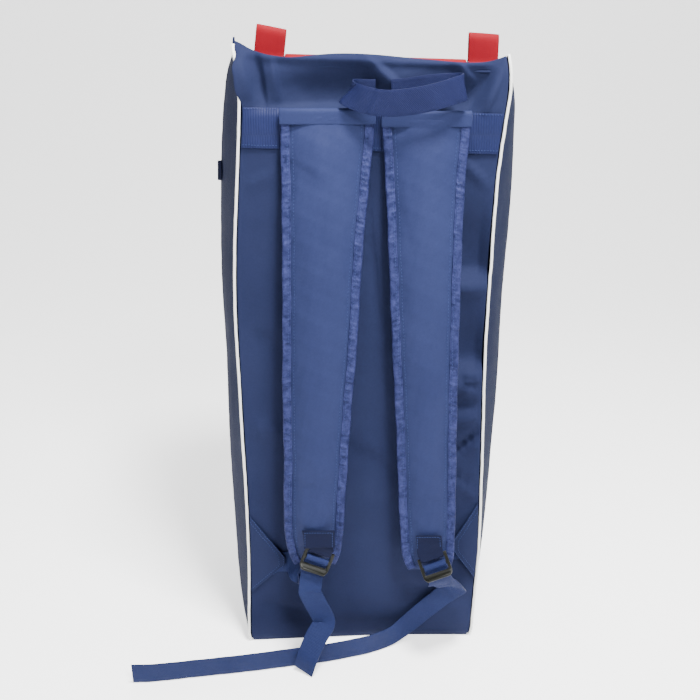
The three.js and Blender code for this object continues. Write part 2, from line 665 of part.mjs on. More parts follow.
function makePad(side) {
  const place = (i, j, face) => {
    const along = strapStations[i];
    const half = halfWidth(side, along);
    const inward = padRows[j] ?? 0;
    const fromEdge = padRows[j] === null ? 0 : boundEdge + (half - boundEdge) * inward;
    const sign = j < padRows.length / 2 ? -1 : 1;
    const across = (sign * (half - fromEdge)) / (2 * half);
    return onStrap(side, along, across, face ? padThickness(side, along, inward) : 0);
  };
  const geometry = wall(
    strapStations.length - 1,
    padRows.length - 1,
    (i, j) => place(i, j, 1),
    (i, j) => place(i, j, 0),
  );
  add(`strap_pad_${side}`, geometry, "pad");
}

// Binding folded round one edge of the strap, a U section with its mouth to the pad.
function makeBinding(side, edge) {
  const sign = edge === "outer" ? -1 : 1;
  const facing = side === "left" ? sign : -sign;
  const gap = SEAM_GAP;
  const low = -gap - BINDING_WALL;
  const high = PAD_FLANGE + gap + BINDING_WALL;
  const profile = [
    [-BINDING_WIDTH + gap, low],
    [gap + BINDING_WALL, low],
    [gap + BINDING_WALL, high],
    [-BINDING_WIDTH + gap, high],
    [-BINDING_WIDTH + gap, high - BINDING_WALL],
    [gap, high - BINDING_WALL],
    [gap, low + BINDING_WALL],
    [-BINDING_WIDTH + gap, low + BINDING_WALL],
  ].map(([a, b]) => new THREE.Vector2(a, b));
  const rings = strapStations.map((along) => {
    const width = strapColumns[side].width(along) * STRAP_WIDTH;
    return profile.map((p) => onStrap(side, along, facing * (0.5 + p.x / width), p.y));
  });
  add(`binding_${edge}_${side}`, loft(rings, profile), "binding");
}

// Buckles. Their own frame: a to the right, l down from the top bar, n out of the face.

function buckleFrame(side) {
  const { at, shift, turn, pitch } = BUCKLES[side];
  const { down, right, out } = strapFrame(side, at);
  const turned = (vector) =>
    vector
      .clone()
      .applyAxisAngle(right, THREE.MathUtils.degToRad(-pitch))
      .applyAxisAngle(out, THREE.MathUtils.degToRad(-turn));
  const seat = padThickness(side, at, 1) + 3 * SEAM_GAP + WEBBING_THICKNESS + BUCKLE_CLEARANCE;
  const origin = onStrap(side, at, 0, seat + BUCKLE_THICKNESS / 2);
  origin.x += shift * PANEL_WIDTH;
  return { right: turned(right), along: turned(down), out: turned(out), origin };
}

function inBuckle(frame, a, l, n) {
  return frame.origin
    .clone()
    .addScaledVector(frame.right, a)
    .addScaledVector(frame.along, l)
    .addScaledVector(frame.out, n);
}

function toManifold(geometry) {
  const plain = geometry.index ? geometry.toNonIndexed() : geometry;
  const position = plain.getAttribute("position");
  const seen = new Map();
  const vertices = [];
  const triangles = [];
  for (let i = 0; i < position.count; i += 1) {
    const point = [position.getX(i), position.getY(i), position.getZ(i)];
    const key = point.map((value) => value.toFixed(4)).join();
    if (!seen.has(key)) {
      seen.set(key, vertices.length / 3);
      vertices.push(...point);
    }
    triangles.push(seen.get(key));
  }
  const mesh = new wasm.Mesh({
    numProp: 3,
    vertProperties: new Float32Array(vertices),
    triVerts: new Uint32Array(triangles),
  });
  return new wasm.Manifold(mesh);
}

function fromManifold(solid) {
  const mesh = solid.getMesh();
  const points = [];
  for (let i = 0; i < mesh.numVert; i += 1) {
    points.push(new THREE.Vector3().fromArray(mesh.vertProperties, i * mesh.numProp));
  }
  const faces = [];
  for (let i = 0; i < mesh.triVerts.length; i += 3) {
    faces.push([...mesh.triVerts.subarray(i, i + 3)]);
  }
  return closedGeometry(points, faces);
}

const lipStart = TOP_BAR + UPPER_SLOT + MIDDLE_BAR + LOWER_SLOT;
const buckleLength = lipStart + LIP_BAR;

// Side view of the buckle as a chain of (l, n) points along its middle, which curves out at the lip.
function buckleLine(from, to, count) {
  return steps(count).map((t) => {
    const l = THREE.MathUtils.lerp(from, to, t);
    const past = Math.max(0, l - lipStart) / LIP_BAR;
    return [l, LIP_RISE * past * past];
  });
}

// A bar or rail: the side view thickened and carried from one place across to another.
function buckleBar(from, to, count, left, right) {
  const line = buckleLine(from, to, count);
  const half = BUCKLE_THICKNESS / 2;
  const outline = [...line.map(([l, n]) => [l, n - half]), ...line.map(([l, n]) => [l, n + half]).reverse()];
  return extruded(outline, right - left).translate(0, 0, left);
}

function makeBuckle(side) {
  const frame = buckleFrame(side);
  const half = BUCKLE_WIDTH / 2;
  const inside = half - BUCKLE_RAIL + SEAM_GAP;
  const middle = TOP_BAR + UPPER_SLOT;
  const parts = [
    buckleBar(0, buckleLength, 8, -half, -half + BUCKLE_RAIL),
    buckleBar(0, buckleLength, 8, half - BUCKLE_RAIL, half),
    buckleBar(0, TOP_BAR, 1, -inside, inside),
    buckleBar(middle, middle + MIDDLE_BAR, 1, -inside, inside),
    buckleBar(lipStart, buckleLength, 5, -inside, inside),
  ];
  const solid = parts.map(toManifold).reduce((all, part) => all.add(part));
  const geometry = fromManifold(solid);
  const basis = new THREE.Matrix4().makeBasis(frame.along, frame.out, frame.right.clone().negate());
  basis.setPosition(frame.origin);
  geometry.applyMatrix4(basis);
  add(`ladder_buckle_${side}`, geometry, "plastic", 0.35);
}

const bucklePad = BUCKLE_THICKNESS / 2 + BUCKLE_CLEARANCE + WEBBING_THICKNESS / 2;

// The webbing's way round the far or near side of a bar, from its face to its back.
function roundBar(from, to, far) {
  const beside = BUCKLE_CLEARANCE + WEBBING_THICKNESS / 2;
  const corner = BUCKLE_THICKNESS / 2 + beside * 0.72;
  const edge = far > 0 ? to : from;
  const middle = (from + to) / 2;
  return [
    [middle, bucklePad],
    [edge, bucklePad],
    [edge + far * beside * 0.72, corner],
    [edge + far * beside, BUCKLE_THICKNESS / 2],
    [edge + far * beside, 0],
    [edge + far * beside, -BUCKLE_THICKNESS / 2],
    [edge + far * beside * 0.72, -corner],
    [edge, -bucklePad],
    [middle, -bucklePad],
  ];
}

// Webbing from the pad's face round the buckle's top bar and back up behind the pad.
function makeStrapEnd(side) {
  const frame = buckleFrame(side);
  const { at, shift } = BUCKLES[side];
  const { right } = strapFrame(side, at);
  const clear = SEAM_GAP + WEBBING_THICKNESS / 2;
  const layer = (behindBar, out) => {
    const along = at - behindBar;
    const lean = THREE.MathUtils.clamp(1 - behindBar / 0.045, 0, 1);
    const point = onStrap(side, along, 0, padThickness(side, along, 1) + out);
    point.x += shift * PANEL_WIDTH * lean;
    return { point, width: right.clone().lerp(frame.right, lean * lean).normalize() };
  };
  const front = [0.048, 0.038, 0.028].map((b) => layer(b, clear + WEBBING_THICKNESS + SEAM_GAP));
  const back = [0.02, 0.032, 0.045].map((b) => layer(b, clear));
  const way = [
    [-1.3 * TOP_BAR, 1.4 * bucklePad],
    [-0.6 * TOP_BAR, 1.15 * bucklePad],
    ...roundBar(0, TOP_BAR, 1),
    [-0.6 * TOP_BAR, -0.8 * bucklePad],
  ];
  const round = way.map(([l, n]) => ({
    point: inBuckle(frame, 0, l, n),
    width: frame.right,
  }));
  const stations = [...front, ...round, ...back].map((station) => ({ ...station, held: true }));
  add(`strap_end_${side}`, webbing(stations, WEBBING_WIDTH, stations.length - 1), "webbing");
}

function placed(rows, base, rise) {
  return rows.map((row) => ({
    point: onBackPanel(row.across * PANEL_WIDTH, base + row.up * rise, row.out * WEBBING_WIDTH),
    width: new THREE.Vector3(row.wx, -row.wo, row.wz),
    wide: row.wide,
  }));
}

// One run of webbing: out of the corner tab, up behind the buckle, over its middle bar, down through
// the lower slot and out behind the lip as a free tail.
function makeAdjuster(side) {
  const frame = buckleFrame(side);
  const behind = -bucklePad - WEBBING_THICKNESS - BUCKLE_CLEARANCE;
  const middle = TOP_BAR + UPPER_SLOT;
  const over = roundBar(middle, middle + MIDDLE_BAR, -1).reverse();
  const down = roundBar(middle, middle + MIDDLE_BAR, 1).slice(1, 6);
  const woven = [
    [buckleLength + 5 * BUCKLE_CLEARANCE, behind - BUCKLE_CLEARANCE],
    [lipStart + 0.2 * LIP_BAR, behind],
    [lipStart - LOWER_SLOT / 2, behind],
    [middle + MIDDLE_BAR, behind * 0.8],
    ...over.slice(1),
    ...down,
    [middle + MIDDLE_BAR + LOWER_SLOT / 2, -bucklePad * 0.86],
    [lipStart, -1.12 * bucklePad],
    [buckleLength, -1.05 * bucklePad],
  ].map(([l, n]) => ({ point: inBuckle(frame, 0, l, n), width: frame.right, held: true }));
  const height = frame.origin.z;
  const stations = [
    ...placed(ANCHOR_ENDS[side], 0, height),
    ...woven,
    ...placed(TAILS[side], 0, height),
  ];
  const count = (stations.length - 1) * 2;
  add(`adjuster_webbing_${side}`, webbing(stations, WEBBING_WIDTH, count), "webbing");
}

// Corner tabs: a triangle of cloth with its base in the side seam

function makeCornerTab(side) {
  const sign = side === "left" ? 1 : -1;
  const { low, reach, point } = CORNER_TABS[side];
  const place = (i, j, layer) => {
    const inward = i / 6;
    const base = low * BAG_HEIGHT + CORNER_TAB_BASE * point * inward;
    const z = base + CORNER_TAB_BASE * (1 - 0.92 * inward) * (j / 6);
    const x = seamX[side](z / BAG_HEIGHT) + sign * (1.15 * besidePiping + reach * PANEL_WIDTH * inward);
    const under = 2 * SEAM_GAP + (WEBBING_THICKNESS + 4 * SEAM_GAP) * Math.min(1, 2 * inward);
    return onBackPanel(x, z, under + layer * CORNER_TAB_CLOTH);
  };
  const geometry = wall(6, 6, (i, j) => place(i, j, 1), (i, j) => place(i, j, 0));
  add(`corner_tab_${side}`, geometry, "canvas");
}

// Grab handle

function makeHandle() {
  const stations = placed(HANDLE, bandTop(0), WEBBING_WIDTH);
  add("grab_handle", webbing(stations, WEBBING_WIDTH, (stations.length - 1) * 3), "webbing");
}

// Red trim of the top end

function makeFlap() {
  const half = FLAP_WIDTH / 2;
  const centreY = zipY - ZIP_SLOT / 2 - half;
  const start = tabX.left + TAB_WIDTH / 2 + 6 * SEAM_GAP;
  const end = tabX.right - TAB_WIDTH / 2 - 6 * SEAM_GAP;
  const place = (i, j, layer) => {
    const across = 2 * j - 1;
    const x = THREE.MathUtils.lerp(start, end, i);
    const y = centreY + across * half;
    const arch = FLAP_RISE * (1 - across * across);
    return new THREE.Vector3(x, y, topHeight(x, y) + 2 * SEAM_GAP + arch + layer * FLAP_CLOTH);
  };
  const [along, over] = [steps(10), steps(8)];
  const geometry = wall(
    10,
    8,
    (i, j) => place(along[i], over[j], 1),
    (i, j) => place(along[i], over[j], 0),
  );
  add("zip_flap", geometry, "red");
}

const tabX = {
  left: seamX.left(1) + END_TABS.left.inward * TAB_WIDTH,
  right: seamX.right(1) - END_TABS.right.inward * TAB_WIDTH,
};

// A folded loop of webbing that stands on the top end, open from left to right.
function makeEndTab(side) {
  const y = zipY - ZIP_SLOT / 2 - FLAP_WIDTH / 2;
  const x = tabX[side];
  const half = TAB_GAP / 2;
  const { shift, tilt } = END_TABS[side];
  const reach = TAB_WIDTH / 2;
  const lean = (topHeight(x + reach, y) - topHeight(x - reach, y)) / TAB_WIDTH;
  const stations = [
    [half + 0.57 * TAB_GAP, 0],
    [half, 0.12],
    [half, 0.5],
    [half, 0.86],
    [0, 1],
    [-half, 0.86],
    [-half, 0.5],
    [-half, 0.12],
    [-half - 0.57 * TAB_GAP, 0],
  ].map(([out, up]) => {
    const foot = topHeight(x, y + out) + 1.6 * SEAM_GAP + WEBBING_THICKNESS * 0.6;
    return {
      point: new THREE.Vector3(x + shift * TAB_WIDTH * up, y + out, foot + up * TAB_HEIGHT),
      width: new THREE.Vector3(1, 0, THREE.MathUtils.lerp(lean, tilt, Math.min(1, 2 * up))),
    };
  });
  add(`end_tab_${side}`, webbing(stations, TAB_WIDTH, 32), "red");
}

// Zip

function makeZip() {
  const start = tabX.left - TAB_WIDTH / 2;
  const end = tabX.right + TAB_WIDTH / 2;
  const rows = 12;
  const half = ZIP_SLOT / 2 - SEAM_GAP;
  const place = (i, j, layer) => {
    const x = THREE.MathUtils.lerp(start, end, i / rows);
    const z = topHeight(x, zipY) - CLOTH + layer * ZIP_CHAIN_HEIGHT;
    return new THREE.Vector3(x, zipY + (j ? half : -half), z);
  };
  add("zip_chain", wall(rows, 1, (i, j) => place(i, j, 1), (i, j) => place(i, j, 0)), "webbing");

  const sliderX = THREE.MathUtils.lerp(start, end, 0.93);
  const sliderZ = topHeight(sliderX, zipY) - CLOTH + ZIP_CHAIN_HEIGHT + SEAM_GAP;
  const slider = new THREE.BoxGeometry(SLIDER_LENGTH, SLIDER_WIDTH, SLIDER_HEIGHT);
  slider.translate(sliderX, zipY, sliderZ + SLIDER_HEIGHT / 2);
  add("zip_slider", slider, "metal", 0.35, 0.9);

  const puller = new THREE.BoxGeometry(PULLER_LENGTH, PULLER_WIDTH, PULLER_THICKNESS);
  const pullerX = sliderX - PULLER_LENGTH / 2 + SLIDER_LENGTH / 4;
  const pullerZ = sliderZ + SLIDER_HEIGHT + SEAM_GAP + PULLER_THICKNESS / 2;
  puller.translate(pullerX, zipY, pullerZ);
  add("zip_puller", puller, "metal", 0.35, 0.9);
}

// Small webbing loop on the left side wall

function makeSideTab() {
  const up = 0.823;
  const share = 0.3;
  const seat = leftSurface(share, up);
  const half = SIDE_TAB_WIDTH / 2;
  const gap = SEAM_GAP + WEBBING_THICKNESS / 2;
  const stations = [
    [0, -0.75 * SIDE_TAB_REACH],
    [gap, -0.42 * SIDE_TAB_REACH],
    [0.6 * SIDE_TAB_REACH, -0.28 * SIDE_TAB_REACH],
    [SIDE_TAB_REACH, 0],
    [0.6 * SIDE_TAB_REACH, 0.28 * SIDE_TAB_REACH],
    [gap, 0.42 * SIDE_TAB_REACH],
    [0, 0.75 * SIDE_TAB_REACH],
  ].map(([out, along]) => {
    const at = share + along / BAG_DEPTH;
    const middle = leftSurface(at, up);
    const width = leftSurface(at, up + half / BAG_HEIGHT).sub(leftSurface(at, up - half / BAG_HEIGHT));
    return {
      point: new THREE.Vector3(middle.x - gap - SEAM_GAP - out, seat.y + along, middle.z),
      width: width.normalize(),
    };
  });
  add("side_tab", webbing(stations, SIDE_TAB_WIDTH, 24), "webbing");
}

makeBackPanel();
makeFrontPanel();
makeSideWalls();
makeEndPanels();
makeBand();
for (const side of ["left", "right"]) {
  makePiping(side);
  makePad(side);
  makeBinding(side, "outer");
  makeBinding(side, "inner");
  makeBuckle(side);
  makeStrapEnd(side);
  makeAdjuster(side);
  makeCornerTab(side);
  makeEndTab(side);
}
makeHandle();
makeFlap();
makeZip();
makeSideTab();

export default bag;
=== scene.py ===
# %% [markdown]
# # A cricket kit bag, dressed for its portrait
#
# This lesson takes a tall kit bag, whose solids come from a CAD model, and gives it cloth, webbing,
# stitches and light. The bag stands on its end with its two shoulder straps towards us. Most of what
# we see is soft, so the lesson is about cloth: how it dents, how a strap is bound, how webbing folds.
#
# First we load the frame. Everything that follows is in metres, in the place where the CAD model has it.

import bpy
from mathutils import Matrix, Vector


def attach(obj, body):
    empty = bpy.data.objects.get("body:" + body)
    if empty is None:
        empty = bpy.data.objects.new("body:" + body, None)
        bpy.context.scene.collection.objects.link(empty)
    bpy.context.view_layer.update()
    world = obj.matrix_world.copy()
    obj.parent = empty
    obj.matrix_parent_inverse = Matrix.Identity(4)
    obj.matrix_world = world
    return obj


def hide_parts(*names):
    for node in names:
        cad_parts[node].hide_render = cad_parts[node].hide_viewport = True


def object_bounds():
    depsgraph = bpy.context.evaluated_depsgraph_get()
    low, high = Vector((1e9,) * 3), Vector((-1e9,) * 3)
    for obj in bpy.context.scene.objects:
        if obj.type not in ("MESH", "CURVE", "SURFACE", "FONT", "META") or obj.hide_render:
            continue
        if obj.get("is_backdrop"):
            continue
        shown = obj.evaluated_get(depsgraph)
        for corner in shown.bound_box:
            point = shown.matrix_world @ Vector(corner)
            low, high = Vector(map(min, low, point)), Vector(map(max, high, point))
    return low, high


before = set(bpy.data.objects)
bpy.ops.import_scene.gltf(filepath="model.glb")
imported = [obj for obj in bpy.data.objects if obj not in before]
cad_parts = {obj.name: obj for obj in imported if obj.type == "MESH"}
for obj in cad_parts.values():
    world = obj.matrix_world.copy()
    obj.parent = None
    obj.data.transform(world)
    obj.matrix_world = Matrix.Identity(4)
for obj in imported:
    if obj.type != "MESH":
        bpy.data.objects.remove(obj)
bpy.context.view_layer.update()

# %% Tools that the lesson uses
import math

import bmesh
import bpy
import numpy as np
from mathutils import Matrix, Vector
from mathutils.bvhtree import BVHTree

SIDES = ("left", "right")

# %% [markdown]
# ## Small helpers
#
# Operators act on everything that is selected, and loading leaves the CAD pieces selected. So the first
# helper deselects all and makes one piece active. The others read and write all of a mesh's points as
# one array, which is how we press dents into cloth with a formula.


# %% Select one piece, and step in and out of edit mode
def only(piece):
    bpy.ops.object.select_all(action="DESELECT")
    piece.select_set(True)
    bpy.context.view_layer.objects.active = piece
    return piece


def everything():
    bpy.ops.mesh.select_all(action="SELECT")


def editing(piece, *steps):
    only(piece)
    bpy.ops.object.mode_set(mode="EDIT")
    for step in steps:
        step()
    bpy.ops.object.mode_set(mode="OBJECT")
    return piece


# %% Read and write a mesh's points
def points_of(piece):
    flat = np.empty(len(piece.data.vertices) * 3)
    piece.data.vertices.foreach_get("co", flat)
    return flat.reshape(-1, 3)


def move_points(piece, points):
    piece.data.vertices.foreach_set("co", np.ascontiguousarray(points).ravel())
    piece.data.update()
    return piece


# %% Apply modifiers in the order in which they are named
def modified(piece, *modifiers):
    only(piece)
    for kind, settings in modifiers:
        modifier = piece.modifiers.new(kind.title(), kind)
        for name, value in settings.items():
            setattr(modifier, name, value)
        bpy.ops.object.modifier_apply(modifier=modifier.name)
    return piece


# %% [markdown]
# A cloth wall of the CAD model is a coarse net of flat triangles with a real thickness. We leave that
# solid alone and work on a copy. Its doubles are merged and its triangles paired to squares, because
# subdivision flows along squares. Its sharp edges are creased, so that the cut edge of the cloth stays
# where it is while the face between becomes a smooth curve.


# %% Copy a CAD piece as cloth that can be shaped
SAME_POINT = 2e-5
SHARP_EDGE = math.radians(50)


def cloth_copy(node_name, name, levels, crease=0.9):
    piece = bpy.data.objects.new(name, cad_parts[node_name].data.copy())
    bpy.context.scene.collection.objects.link(piece)
    piece.data.materials.clear()
    any_angle = {"face_threshold": math.pi, "shape_threshold": math.pi}
    editing(
        piece,
        everything,
        lambda: bpy.ops.mesh.remove_doubles(threshold=SAME_POINT),
        lambda: bpy.ops.mesh.tris_convert_to_quads(**any_angle),
    )
    shape = bmesh.new()
    shape.from_mesh(piece.data)
    layer = shape.edges.layers.float.new("crease_edge")
    for edge in shape.edges:
        if len(edge.link_faces) == 2 and edge.calc_face_angle() > SHARP_EDGE:
            edge[layer] = crease
    shape.to_mesh(piece.data)
    shape.free()
    modified(piece, ("SUBSURF", {"levels": levels, "render_levels": levels}))
    bpy.ops.object.shade_smooth_by_angle(angle=SHARP_EDGE)
    return piece


# %% Say what a finished piece stands for
def finished(piece, slot, *nodes):
    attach(piece, "root")
    if nodes:
        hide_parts(*nodes)
    print(piece.name, len(piece.data.polygons), "faces for", ", ".join(nodes) or "no node")
    return piece


# %% [markdown]
# ## Floor, light and camera
#
# The bag stands on a sheet of pale studio paper. The sheet runs back and curves up behind the bag, so
# no horizon shows: it's a plane whose back edge is extruded upwards and whose corner gets a wide bevel.
# It glows a little, as paper lit from behind does. The light is soft. One lamp hangs close above the
# bag's front, so the bag is brightest near its rim. A second one stands in front, to the right, and a
# wide weak one fills the shadows from the left.


# %% A new primitive, with nothing else selected
def started(name, add, **settings):
    bpy.ops.object.select_all(action="DESELECT")
    add(**settings)
    piece = bpy.context.object
    piece.name = name
    return piece


# %% Studio paper: only its back edge lies beyond BEHIND
PAPER_SIZE, PAPER_SHIFT, PAPER_RISE, PAPER_CURVE = (30, 12, 1), (0, -2, 0), (0, 0, 9), 2.4
BEHIND = 3


def back_edge(piece, test):
    def pick():
        shape = bmesh.from_edit_mesh(piece.data)
        for edge in shape.edges:
            edge.select = test(*(v.co for v in edge.verts))
        shape.select_flush_mode()
        bmesh.update_edit_mesh(piece.data)

    return pick


paper = started("studio_paper", bpy.ops.mesh.primitive_plane_add, size=1)
editing(
    paper,
    lambda: bpy.ops.transform.resize(value=PAPER_SIZE),
    lambda: bpy.ops.transform.translate(value=PAPER_SHIFT),
    lambda: bpy.ops.mesh.select_mode(type="EDGE"),
    back_edge(paper, lambda a, b: min(a.y, b.y) > BEHIND),
    lambda: bpy.ops.mesh.extrude_region_move(TRANSFORM_OT_translate={"value": PAPER_RISE}),
    back_edge(paper, lambda a, b: min(a.y, b.y) > BEHIND and max(a.z, b.z) < 0.1),
    lambda: bpy.ops.mesh.bevel(offset=PAPER_CURVE, segments=16),
)
only(paper)
bpy.ops.object.shade_smooth()
paper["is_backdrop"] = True

# %% Camera
# In pixels of the photo: its width, its focal length, and how far below its middle the bag's upright
# lines would meet, which gives the camera's tilt.
PHOTO_WIDTH, FOCAL_LENGTH, UPRIGHTS_MEET = 700, 900, 2790
CAMERA_PLACE = (-0.017, -1.2377, 0.785)
SENSOR_WIDTH = 36
tilt = math.atan(FOCAL_LENGTH / UPRIGHTS_MEET)
bpy.ops.object.camera_add(location=CAMERA_PLACE, rotation=(math.pi / 2 - tilt, 0, 0))
camera = bpy.context.object
camera.data.sensor_width = SENSOR_WIDTH
camera.data.lens = SENSOR_WIDTH * FOCAL_LENGTH / PHOTO_WIDTH
bpy.context.scene.camera = camera
print("camera tilted down by", round(math.degrees(tilt), 1), "degrees")

# %% Light
SKY_COLOUR, SKY_STRENGTH = (0.95, 0.97, 1.0, 1), 0.22
world = bpy.data.worlds.new("studio")
bpy.context.scene.world = world
world.use_nodes = True
sky = world.node_tree.nodes["Background"].inputs
sky["Color"].default_value = SKY_COLOUR
sky["Strength"].default_value = SKY_STRENGTH


def softbox(name, place, aim, size, power):
    bpy.ops.object.light_add(type="AREA", location=place)
    light = bpy.context.object
    light.name = name
    light.data.size = size
    light.data.energy = power
    light.rotation_euler = (Vector(aim) - Vector(place)).to_track_quat("-Z", "Y").to_euler()
    return light


softbox("top_light", place=(0.25, -0.6, 1.9), aim=(0, -0.1, 0.6), size=0.35, power=95)
softbox("key_light", place=(0.85, -2.0, 2.2), aim=(0, -0.1, 0.4), size=0.5, power=100)
softbox("fill_light", place=(-1.5, -2.0, 1.0), aim=(0, -0.1, 0.4), size=1.4, power=26)

# %% [markdown]
# ## Material helpers
#
# A material here is a small network of nodes. One helper adds a node, sets its inputs and links what
# comes in. Effects that several cloths share are node groups, built once with named sockets: a plain
# weave, the ribs of webbing, and the uneven colour of used cloth.


# %% Add a node and feed its inputs
def node(tree, kind, feeds=None, **settings):
    made = tree.nodes.new(kind)
    for name, value in settings.items():
        setattr(made, name, value)
    for name, value in (feeds or {}).items():
        socket = made.inputs[name]
        if isinstance(value, bpy.types.NodeSocket):
            tree.links.new(value, socket)
        else:
            socket.default_value = value
    return made


def maths(tree, operation, first, second=0.0, third=0.0):
    made = node(tree, "ShaderNodeMath", {0: first, 1: second, 2: third}, operation=operation)
    return made.outputs[0]


def blended(tree, factor, first, second):
    made = node(tree, "ShaderNodeMix", {0: factor, 6: first, 7: second}, data_type="RGBA")
    return made.outputs[2]


def noise(tree, where, scale, detail):
    feeds = {"Vector": where, "Scale": scale, "Detail": detail}
    return node(tree, "ShaderNodeTexNoise", feeds).outputs[0]


def ranged(tree, value, low, high, start=0.0, end=1.0):
    feeds = {0: value, 1: low, 2: high, 3: start, 4: end}
    return node(tree, "ShaderNodeMapRange", feeds).outputs[0]


# %% Start a node group with named sockets
def group(name, inputs, outputs):
    tree = bpy.data.node_groups.new(name, "ShaderNodeTree")
    for socket, (kind, value) in inputs.items():
        made = tree.interface.new_socket(socket, in_out="INPUT", socket_type=f"NodeSocket{kind}")
        if value is not None:
            made.default_value = value
    for socket, kind in outputs.items():
        tree.interface.new_socket(socket, in_out="OUTPUT", socket_type=f"NodeSocket{kind}")
    return tree, tree.nodes.new("NodeGroupInput").outputs, tree.nodes.new("NodeGroupOutput").inputs


def use(tree, made_group, feeds):
    return node(tree, "ShaderNodeGroup", feeds, node_tree=made_group).outputs


# %% [markdown]
# Canvas is woven: a thread goes over one crossing thread and under the next. In the group, two rows of
# round ridges cross, and a chequered mask says which of the two is on top. A ridge is a half wave of a
# sine, and what lies low between the ridges is put out as a mask of gaps, which later darkens the cloth
# there as painted shade.


# %% Ridges, and the two outputs of a woven group
def ridges(tree, count):
    return maths(tree, "ABSOLUTE", maths(tree, "SINE", maths(tree, "MULTIPLY", count, math.pi)))


def put_out(tree, height, out):
    tree.links.new(height, out["Height"])
    tree.links.new(maths(tree, "SUBTRACT", 1.0, maths(tree, "POWER", height, 0.5)), out["Gap shade"])


# %% The plain weave
weave, inside, out = group(
    "plain_weave",
    {"Vector": ("Vector", None), "Threads": ("Float", 1400.0)},
    {"Height": "Float", "Gap shade": "Float"},
)
place = node(weave, "ShaderNodeSeparateXYZ", {0: inside["Vector"]}).outputs
warp = maths(weave, "MULTIPLY", place["X"], inside["Threads"])
weft = maths(weave, "MULTIPLY", place["Y"], inside["Threads"])
cells = maths(weave, "ADD", maths(weave, "FLOOR", warp), maths(weave, "FLOOR", weft))
which = maths(weave, "PINGPONG", cells, 1.0)
over = maths(weave, "MULTIPLY", ridges(weave, warp), which)
under = maths(weave, "MULTIPLY", ridges(weave, weft), maths(weave, "SUBTRACT", 1.0, which))
put_out(weave, maths(weave, "ADD", over, under), out)
print("plain weave:", len(weave.nodes), "nodes")

# %% [markdown]
# Webbing is woven narrow and thick. Its face shows ribs that run across it, a little over two
# millimetres apart, and fine columns along it. The group reads a piece's UV map, where U runs across
# and V along the webbing, both in metres.

# %% The ribs of webbing
ribs, inside, out = group(
    "webbing_ribs",
    {"Vector": ("Vector", None), "Ribs": ("Float", 520.0), "Columns": ("Float", 620.0)},
    {"Height": "Float", "Gap shade": "Float"},
)
place = node(ribs, "ShaderNodeSeparateXYZ", {0: inside["Vector"]}).outputs
column = maths(ribs, "MULTIPLY", place["X"], inside["Columns"])
stagger = maths(ribs, "MULTIPLY", maths(ribs, "PINGPONG", maths(ribs, "FLOOR", column), 1.0), 0.5)
row = maths(ribs, "ADD", maths(ribs, "MULTIPLY", place["Y"], inside["Ribs"]), stagger)
flattened = maths(ribs, "POWER", ridges(ribs, column), 0.4)
put_out(ribs, maths(ribs, "MULTIPLY", ridges(ribs, row), flattened), out)
print("webbing ribs:", len(ribs.nodes), "nodes")

# %% [markdown]
# No cloth has one even colour. Handling leaves broad, faint clouds, and the yarn itself has a fine
# grain. This group turns two colours into one that wanders between them, and gives a mask of wear.
# It also darkens the weave's gaps towards a deep blue, which is painted shade.

# %% The uneven colour of used cloth
uneven, inside, out = group(
    "used_cloth",
    {
        "Vector": ("Vector", None),
        "Colour": ("Color", (0.1, 0.1, 0.1, 1)),
        "Faded": ("Color", (0.2, 0.2, 0.2, 1)),
        "Amount": ("Float", 0.5),
        "Gap shade": ("Float", 0.0),
        "Clouds": ("Float", 9.0),
    },
    {"Colour": "Color", "Wear": "Float"},
)
# The gaps' dark colour is painted shade in the low places of the weave.
GRAIN_SCALE, GAP_SHADE_COLOUR = 420.0, (0.01, 0.012, 0.03, 1)
clouds = noise(uneven, inside["Vector"], inside["Clouds"], 4.0)
grain = noise(uneven, inside["Vector"], GRAIN_SCALE, 2.0)
worn = ranged(uneven, clouds, 0.35, 0.72)
speckle = ranged(uneven, grain, 0.3, 0.7)
both = maths(uneven, "MULTIPLY_ADD", speckle, 0.35, maths(uneven, "MULTIPLY", worn, 0.65))
share = maths(uneven, "MULTIPLY", both, inside["Amount"])
faded = blended(uneven, share, inside["Colour"], inside["Faded"])
# Darken the weave's gaps: painted shade.
shade = maths(uneven, "MULTIPLY", inside["Gap shade"], 0.55)
dark = blended(uneven, shade, faded, GAP_SHADE_COLOUR)
uneven.links.new(dark, out["Colour"])
uneven.links.new(both, out["Wear"])
print("used cloth:", len(uneven.nodes), "nodes")

# %% [markdown]
# ## The cloths of the bag
#
# One function makes a cloth material from the groups, because they only differ in colour, thread,
# gloss and wear. The Principled shader stays in each material. Fine relief is a bump; all that is
# larger than a thread is modelled.


# %% Make a cloth material
def blank_material(name):
    material = bpy.data.materials.new(name)
    material.use_nodes = True
    tree = material.node_tree
    return material, tree, tree.nodes["Principled BSDF"].inputs


CLOTH_GLOSS, CRUMPLE_SCALE, CLOTH_RELIEF = 0.05, 38.0, 0.0004


